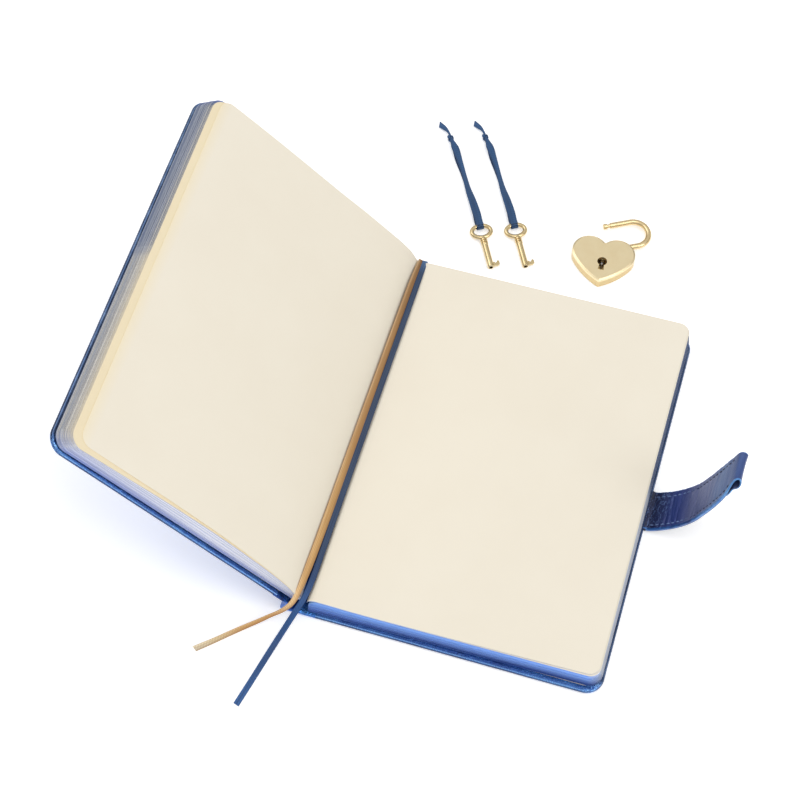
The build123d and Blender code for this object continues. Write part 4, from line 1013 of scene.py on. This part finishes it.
# spine: skin over card, folded at K, in three pieces that meet in the middle of the two panels
low_mid = ((AX + KX) / 2, (AZ + KZ) / 2)
up_mid = ((KX + BX) / 2, (KZ + BZ) / 2)
front_line = [front_pt(u, 0, 1.5) for u in (0.0, 9.4)]
SPINE_YS = [-104.5, -104.2, -103.6] + list(np.linspace(-102, 102, 25)) + [103.6, 104.2, 104.5]
SPINE_EDGE = [0.45, 0.85, 1.0] + [1.0] * 25 + [1.0, 0.85, 0.45]
spine_pieces = (
    ("spine_back_joint", rounded_way([(AX + 9.4, 1.25), (AX + 1.5, 1.25), (AX - 1.2, AZ - 0.1), low_mid], [1.2, 1.0]), "back_half", "spine_lower",
     (AX + 1.6, AZ), (AX - 1.6, AZ - 0.15), ["spine_lower_skin", "spine_lower_card"]),
    ("spine_fold", rounded_way([low_mid, (KX, KZ), up_mid], [3.4]), "spine_lower", "spine_upper",
     (KX + 2.6 * (AX - KX) / hypot(AX - KX, AZ - KZ), KZ + 2.6 * (AZ - KZ) / hypot(AX - KX, AZ - KZ)),
     (KX + 2.6 * (BX - KX) / hypot(BX - KX, BZ - KZ), KZ + 2.6 * (BZ - KZ) / hypot(BX - KX, BZ - KZ)), ["spine_upper_skin", "spine_upper_card"]),
    ("spine_front_joint", rounded_way([up_mid, (BX, BZ), (front_line[1][0], front_line[1][2])], [1.8]), "spine_upper", "front_cover",
     (BX + 1.6 * (KX - BX) / hypot(KX - BX, KZ - BZ), BZ + 1.6 * (KZ - BZ) / hypot(KX - BX, KZ - BZ)), (BX + 1.6 * ec[0], BZ + 1.6 * ec[1]), []),
)
for name, way, a, c, start, end, nodes in spine_pieces:
    o = bent_strip(name, way, lambda d, y: 0.75, lambda d, y: 0.75 + 0.03 * sin(y / 9.0) * sin(d), SPINE_YS, SPINE_EDGE, [COVER_SPINE], lambda j, side: 0)
    o.data.polygons.foreach_set("material_index", np.zeros(len(o.data.polygons), np.int32))
    if nodes:
        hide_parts(*nodes)
    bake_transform(o)

# ------------------------------------------------------------------ strap with its stitched edges and rolled end
chord = hypot(H2[0] - H1[0], H2[1] - H1[1])
chord_dir = atan2(H2[1] - H1[1], H2[0] - H1[0])
riser_r = chord ** 2 / (8 * 2.5) + 1.25
half_a = atan2(chord / 2, riser_r - 2.5)
centre = ((H1[0] + H2[0]) / 2 + (riser_r - 2.5) * cos(chord_dir + pi / 2), (H1[1] + H2[1]) / 2 + (riser_r - 2.5) * sin(chord_dir + pi / 2))
arc = [(centre[0] + riser_r * cos(a), centre[1] + riser_r * sin(a)) for a in np.linspace(chord_dir - pi / 2 - half_a, chord_dir - pi / 2 + half_a, 61)]
ef = (cos(radians(70.3)), sin(radians(70.3)))
eo = (ef[1], -ef[0])


def flap_pt(s, t):
    return (H2[0] + s * ef[0] + t * eo[0], H2[1] + s * ef[1] + t * eo[1])


def soften(way, passes):
    """Rounds the small kinks of a line without moving its ends."""
    way = np.array(way)
    for _ in range(passes):
        way[1:-1] = way[1:-1] * 0.5 + (way[:-2] + way[2:]) * 0.25
    return way


loop_c, loop_r = (35.1, 1.7), 2.05
curl = [flap_pt(loop_c[0] + loop_r * sin(a), loop_c[1] - loop_r * cos(a)) for a in np.linspace(0, pi, 30)]
curl += [flap_pt(loop_c[0] - loop_r * sin(a), loop_c[1] + loop_r * cos(a)) for a in np.linspace(0.05, radians(96), 16)]
curl += [flap_pt(32.3, 1.14), flap_pt(31.2, 1.16), flap_pt(30.0, 1.22), flap_pt(28.4, 1.3), flap_pt(27.0, 1.36)]
whole = even_way([(GX + 145.0, 1.7), (GX + 149.4, 1.7)] + arc[1:] + [flap_pt(s, 0) for s in np.linspace(1, 29.0, 29)]
                 + [flap_pt(31.0, -0.12), flap_pt(33.0, -0.34)] + curl, 0.5)
whole = soften(whole, 5)
along = np.concatenate([[0], np.cumsum(np.linalg.norm(np.diff(whole, axis=0), axis=1))])


def along_at(p):
    return float(along[int(np.argmin([hypot(q[0] - p[0], q[1] - p[1]) for q in whole]))])


mid_riser = int(np.argmin([hypot(p[0] - arc[30][0], p[1] - arc[30][1]) for p in whole]))
flap_from = along_at(H2)
roll_from = along_at(flap_pt(32.6, -0.3))
roll_to = float(along[-1]) - 6.5
loop_mid = np.array(flap_pt(*loop_c))
near_edge = smooth_lookup((0, 12, 20, 27, 31, 34.5, 37.2), (-12.0, -12.0, -11.5, -10.2, -8.4, -5.9, -3.4))
far_edge = smooth_lookup((0, 8, 20, 34.5, 37.2), (10.0, 10.0, 10.6, 11.2, 11.6))
flap_s = [(p[0] - H2[0]) * ef[0] + (p[1] - H2[1]) * ef[1] for p in whole]


def strap_across(offset):
    """The strap narrows on its near side towards the rolled end."""
    def f(d, y):
        s = max(float(np.interp(d + offset, along, flap_s)), 30.5 if d + offset > roll_to - 2.0 else 0.0)
        c = (y - STRAP_Y) / STRAP_W + 0.5
        return near_edge(s) * (1 - c) + far_edge(s) * c
    return f


STRAP_COLS = [-1.0, -0.985, -0.95, -0.9, -0.84, -0.79, -0.74, -0.69, -0.62, -0.5, -0.3, -0.1, 0.1, 0.3, 0.5, 0.62, 0.69, 0.74, 0.79, 0.84, 0.9, 0.95, 0.985, 1.0]
STRAP_YS = [STRAP_Y + c * STRAP_W / 2 for c in STRAP_COLS]
STRAP_EDGES = [0.55 if abs(c) == 1.0 else 0.88 if abs(c) > 0.97 else 1.0 for c in STRAP_COLS]
STITCH_AT = 0.74
creases = np.random.default_rng(21)
CREASE = [(creases.uniform(2, 80), creases.uniform(0.5, 1.4), creases.uniform(0.05, 0.18), creases.uniform(-0.25, 0.25)) for _ in range(22)]
CREASE += [(creases.uniform(7, 19), creases.uniform(0.3, 0.6), creases.uniform(0.06, 0.16), creases.uniform(-0.6, 0.6)) for _ in range(14)]


def crease(d, y):
    return sum(-depth * math.exp(-((d - at - slope * (y - STRAP_Y)) / width) ** 2) for at, width, depth, slope in CREASE)


def strap_face(offset):
    def f(d, y):
        c = abs(y - STRAP_Y) / (STRAP_W / 2)
        p = d + offset
        thin = min(max((p - roll_from + 6.0) / 8.0, 0.0), 1.0)
        half = 0.9 - 0.45 * thin
        fade = min(max((roll_from + 1.0 - p) / 5.0, 0.0), 1.0)
        dip_at = 0.22 * math.exp(-((c - STITCH_AT) / 0.055) ** 2)
        pillow = 0.16 * max(1 - (c / 0.7) ** 2, 0.0)
        return half + (pillow - dip_at + crease(p, y)) * fade
    return f


def strap_back(offset):
    def f(d, y):
        thin = min(max((d + offset - roll_from + 6.0) / 8.0, 0.0), 1.0)
        return 0.9 - 0.45 * thin
    return f


def roll_warp(offset):
    def f(i, d, y, p):
        q = d + offset
        w = min(max((q - roll_from - 0.5) / 4.0, 0.0), 1.0) * min(max((roll_to - q) / 4.0, 0.0), 1.0)
        c = (y - STRAP_Y) / (STRAP_W / 2)
        k = 1.0 - 0.24 * w * (1 - abs(c) ** 2.5) + 0.06 * w * c
        return loop_mid + (np.array(p) - loop_mid) * k
    return f


def strap_mats(j, side):
    if side == 2:
        return 2
    return 1 if STRAP_COLS[j] < -0.93 or STRAP_COLS[j] >= 0.94 else 0


normal_all, tangent_all = left_normals(whole)
for name, lo, hi, a, c, start, end, nodes in (
        ("strap_lower", 0, mid_riser, "back_half", "strap_riser", (H1[0] - 1.6, H1[1]), (H1[0] + 1.6 * cos(chord_dir), H1[1] + 1.6 * sin(chord_dir)),
         ["strap_riser_face", "strap_riser_backing"]),
        ("strap_upper", mid_riser, len(whole) - 1, "strap_riser", "strap_flap", (H2[0] - 2.0 * cos(radians(66)), H2[1] - 2.0 * sin(radians(66))),
         (H2[0] + 2.0 * ef[0], H2[1] + 2.0 * ef[1]), ["strap_flap_face", "strap_flap_backing", "strap_loop"])):
    way = whole[lo:hi + 1]
    off = float(along[lo])
    o = bent_strip(name, way, strap_face(off), strap_back(off), STRAP_YS, STRAP_EDGES, [STRAP, STRAP_EDGE, STRAP_IN], strap_mats,
                   warp=roll_warp(off), normals=normal_all[lo:hi + 1], across=strap_across(off), start=off)
    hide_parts(*nodes)
    b = Build()
    places = []
    for p in np.arange(6.6, roll_from - 0.8, 3.3):
        if not along[lo] <= p < along[hi]:
            continue
        i = int(np.searchsorted(along, p))
        t, nrm = tangent_all[i], normal_all[i]
        for k in (-1, 1):
            y = STRAP_Y + k * STITCH_AT * STRAP_W / 2
            h, back = strap_face(0.0)(p, y), strap_back(0.0)(p, y)
            y0, y1 = strap_across(0.0)(p - 0.5, y), strap_across(0.0)(p + 0.5, y)
            run = np.array((t[0], y1 - y0, t[1]))
            run /= np.linalg.norm(run)
            places.append(((whole[i][0] + nrm[0] * h, (y0 + y1) / 2, whole[i][1] + nrm[1] * h), run, (nrm[0], 0, nrm[1]), 1.15, p))
            places.append(((whole[i][0] - nrm[0] * back, (y0 + y1) / 2, whole[i][1] - nrm[1] * back), run, (-nrm[0], 0, -nrm[1]), 1.15, p))
    stitch_row(b, places)
    st = b.object(name + "_stitches", [THREAD], 60.0, True)
    for piece in (o, st):
        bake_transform(piece)


# tab on the outside of the front cover, with a loop like the strap's
def tab_pt(u, w):
    p = front_pt(u, 0, w)
    return (p[0], p[2])


tab_way = [tab_pt(u, -0.56) for u in np.linspace(82.0, 105.5, 40)]
tab_way += [tab_pt(106.1 + 3.4 * sin(a), -3.9 + 3.34 * cos(a)) for a in np.linspace(0.05, pi, 30)]
tab_way += [tab_pt(104.9 - 3.4 * sin(a), -3.9 - 3.4 * cos(a)) for a in np.linspace(0.0, radians(120), 24)]
tab_way += [tab_pt(101.0, -1.66), tab_pt(98.0, -1.62), tab_pt(94.0, -1.6)]
tab_way = soften(even_way(tab_way, 0.6), 3)
TAB_YS = [STRAP_Y + c * 6.0 for c in STRAP_COLS]
tab_half = lambda d, y: 0.5 - 0.10 * math.exp(-((abs(y - STRAP_Y) / 6.0 - STITCH_AT) / 0.08) ** 2)
tab = bent_strip("front_tab_leather", tab_way, tab_half, tab_half, TAB_YS, STRAP_EDGES, [STRAP, STRAP_EDGE, STRAP_IN], lambda j, side: 0)
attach(tab, "front_cover")
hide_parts("front_tab")
tab_st = Build()
tab_places = []
for u in np.arange(84.2, 98.6, 2.9):
    for k in (-1, 1):
        w = -1.1 if u < 93.0 else -2.05
        p = front_pt(u, STRAP_Y + k * STITCH_AT * 6.0, w)
        tab_places.append((p, (ec[0], 0, ec[1]), (-f_in[0], 0, -f_in[1]), 1.0, u - 82.0))
stitch_row(tab_st, tab_places)
tab_stitches = tab_st.object("front_tab_stitches", [THREAD], 60.0, True)
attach(tab_stitches, "front_cover")

# ------------------------------------------------------------------ finishes of the CAD parts that show as they are
FINISH = {
    "lock_case": GOLD_CASE, "lock_face_plate": GOLD, "lock_case_rivets": GOLD_BRIGHT, "lock_drill_pin": STEEL, "shackle": GOLD_BRIGHT,
    "shackle_pivot_pin": STEEL, "latch_bolt": STEEL, "latch_spring": STEEL, "key_1": GOLD_KEY, "key_2": GOLD_KEY,
    "back_board": BOARD, "front_board": BOARD, "back_endpaper": ENDPAPER, "front_endpaper": ENDPAPER, "strap_base": STRAP_IN,
    "right_spine_lining": CLOTH, "left_spine_lining": CLOTH,
}
for name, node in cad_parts.items():
    if name in FINISH:
        node.data.materials.clear()
        node.data.materials.append(FINISH[name])
        node.data.polygons.foreach_set("material_index", np.zeros(len(node.data.polygons), np.int32))

# the front cover is drawn in a little at its head, and the board inside it keeps within it
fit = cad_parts["front_board"].modifiers.new("fit", "SHRINKWRAP")
fit.target, fit.wrap_method, fit.wrap_mode, fit.offset = front_shell, "NEAREST_SURFACEPOINT", "INSIDE", 0.0003

# ------------------------------------------------------------------ floor and light
floor_n = Nodes("studio_floor")
speck = floor_n.noise(floor_n.coords("Object"), 60.0, 2.0, 0.5)
floor_n.set(Base_Color=floor_n.mix(floor_n.range(speck, 0.0, 0.3), srgb(252, 252, 252), srgb(248, 248, 249)), Roughness=0.9, Specular_IOR_Level=0.1,
            Emission_Color=(1.0, 1.0, 1.0), Emission_Strength=0.34)
floor = make_object("floor", [(-15000, -15000, 0), (15000, -15000, 0), (15000, 15000, 0), (-15000, 15000, 0)], [(0, 1, 2, 3)], [floor_n.mat])


def area_light(name, at, aim, size, power, colour=(1, 1, 1)):
    data = bpy.data.lights.new(name, "AREA")
    data.shape = "RECTANGLE"
    data.size, data.size_y = size
    data.energy = power
    data.color = colour
    o = bpy.data.objects.new(name, data)
    scene.collection.objects.link(o)
    o.location = at
    o.rotation_euler = (Vector(aim) - Vector(at)).to_track_quat("-Z", "Y").to_euler()
    return o


area_light("softbox_left", (-0.9, 0.35, 1.15), (-0.02, 0, 0.02), (0.9, 0.9), 3.2)
area_light("softbox_top", (0.3, -0.15, 1.6), (0, 0.02, 0), (0.9, 0.7), 4.0)
area_light("softbox_right", (1.1, -0.3, 0.9), (0.0, 0, 0.02), (0.6, 0.9), 4.0)
world = bpy.data.worlds.new("studio")
scene.world = world
world.use_nodes = True
sky = world.node_tree
part = sky.nodes.new("ShaderNodeSeparateXYZ")
grade = sky.nodes.new("ShaderNodeValToRGB")
for at, tone in ((0.12, 0.30), (0.45, 0.62)):
    grade.color_ramp.elements.new(at).color = (tone, tone, tone, 1.0)
grade.color_ramp.elements[0].color = (0.22, 0.22, 0.23, 1.0)
grade.color_ramp.elements[-1].color = (0.82, 0.82, 0.82, 1.0)
sky.links.new(sky.nodes.new("ShaderNodeTexCoord").outputs["Generated"], part.inputs["Vector"])
sky.links.new(part.outputs["Z"], grade.inputs["Fac"])
sky.links.new(grade.outputs["Color"], sky.nodes["Background"].inputs["Color"])
sky.nodes["Background"].inputs["Strength"].default_value = 1.0
scene.view_settings.view_transform = "Standard"
scene.view_settings.look = "None"
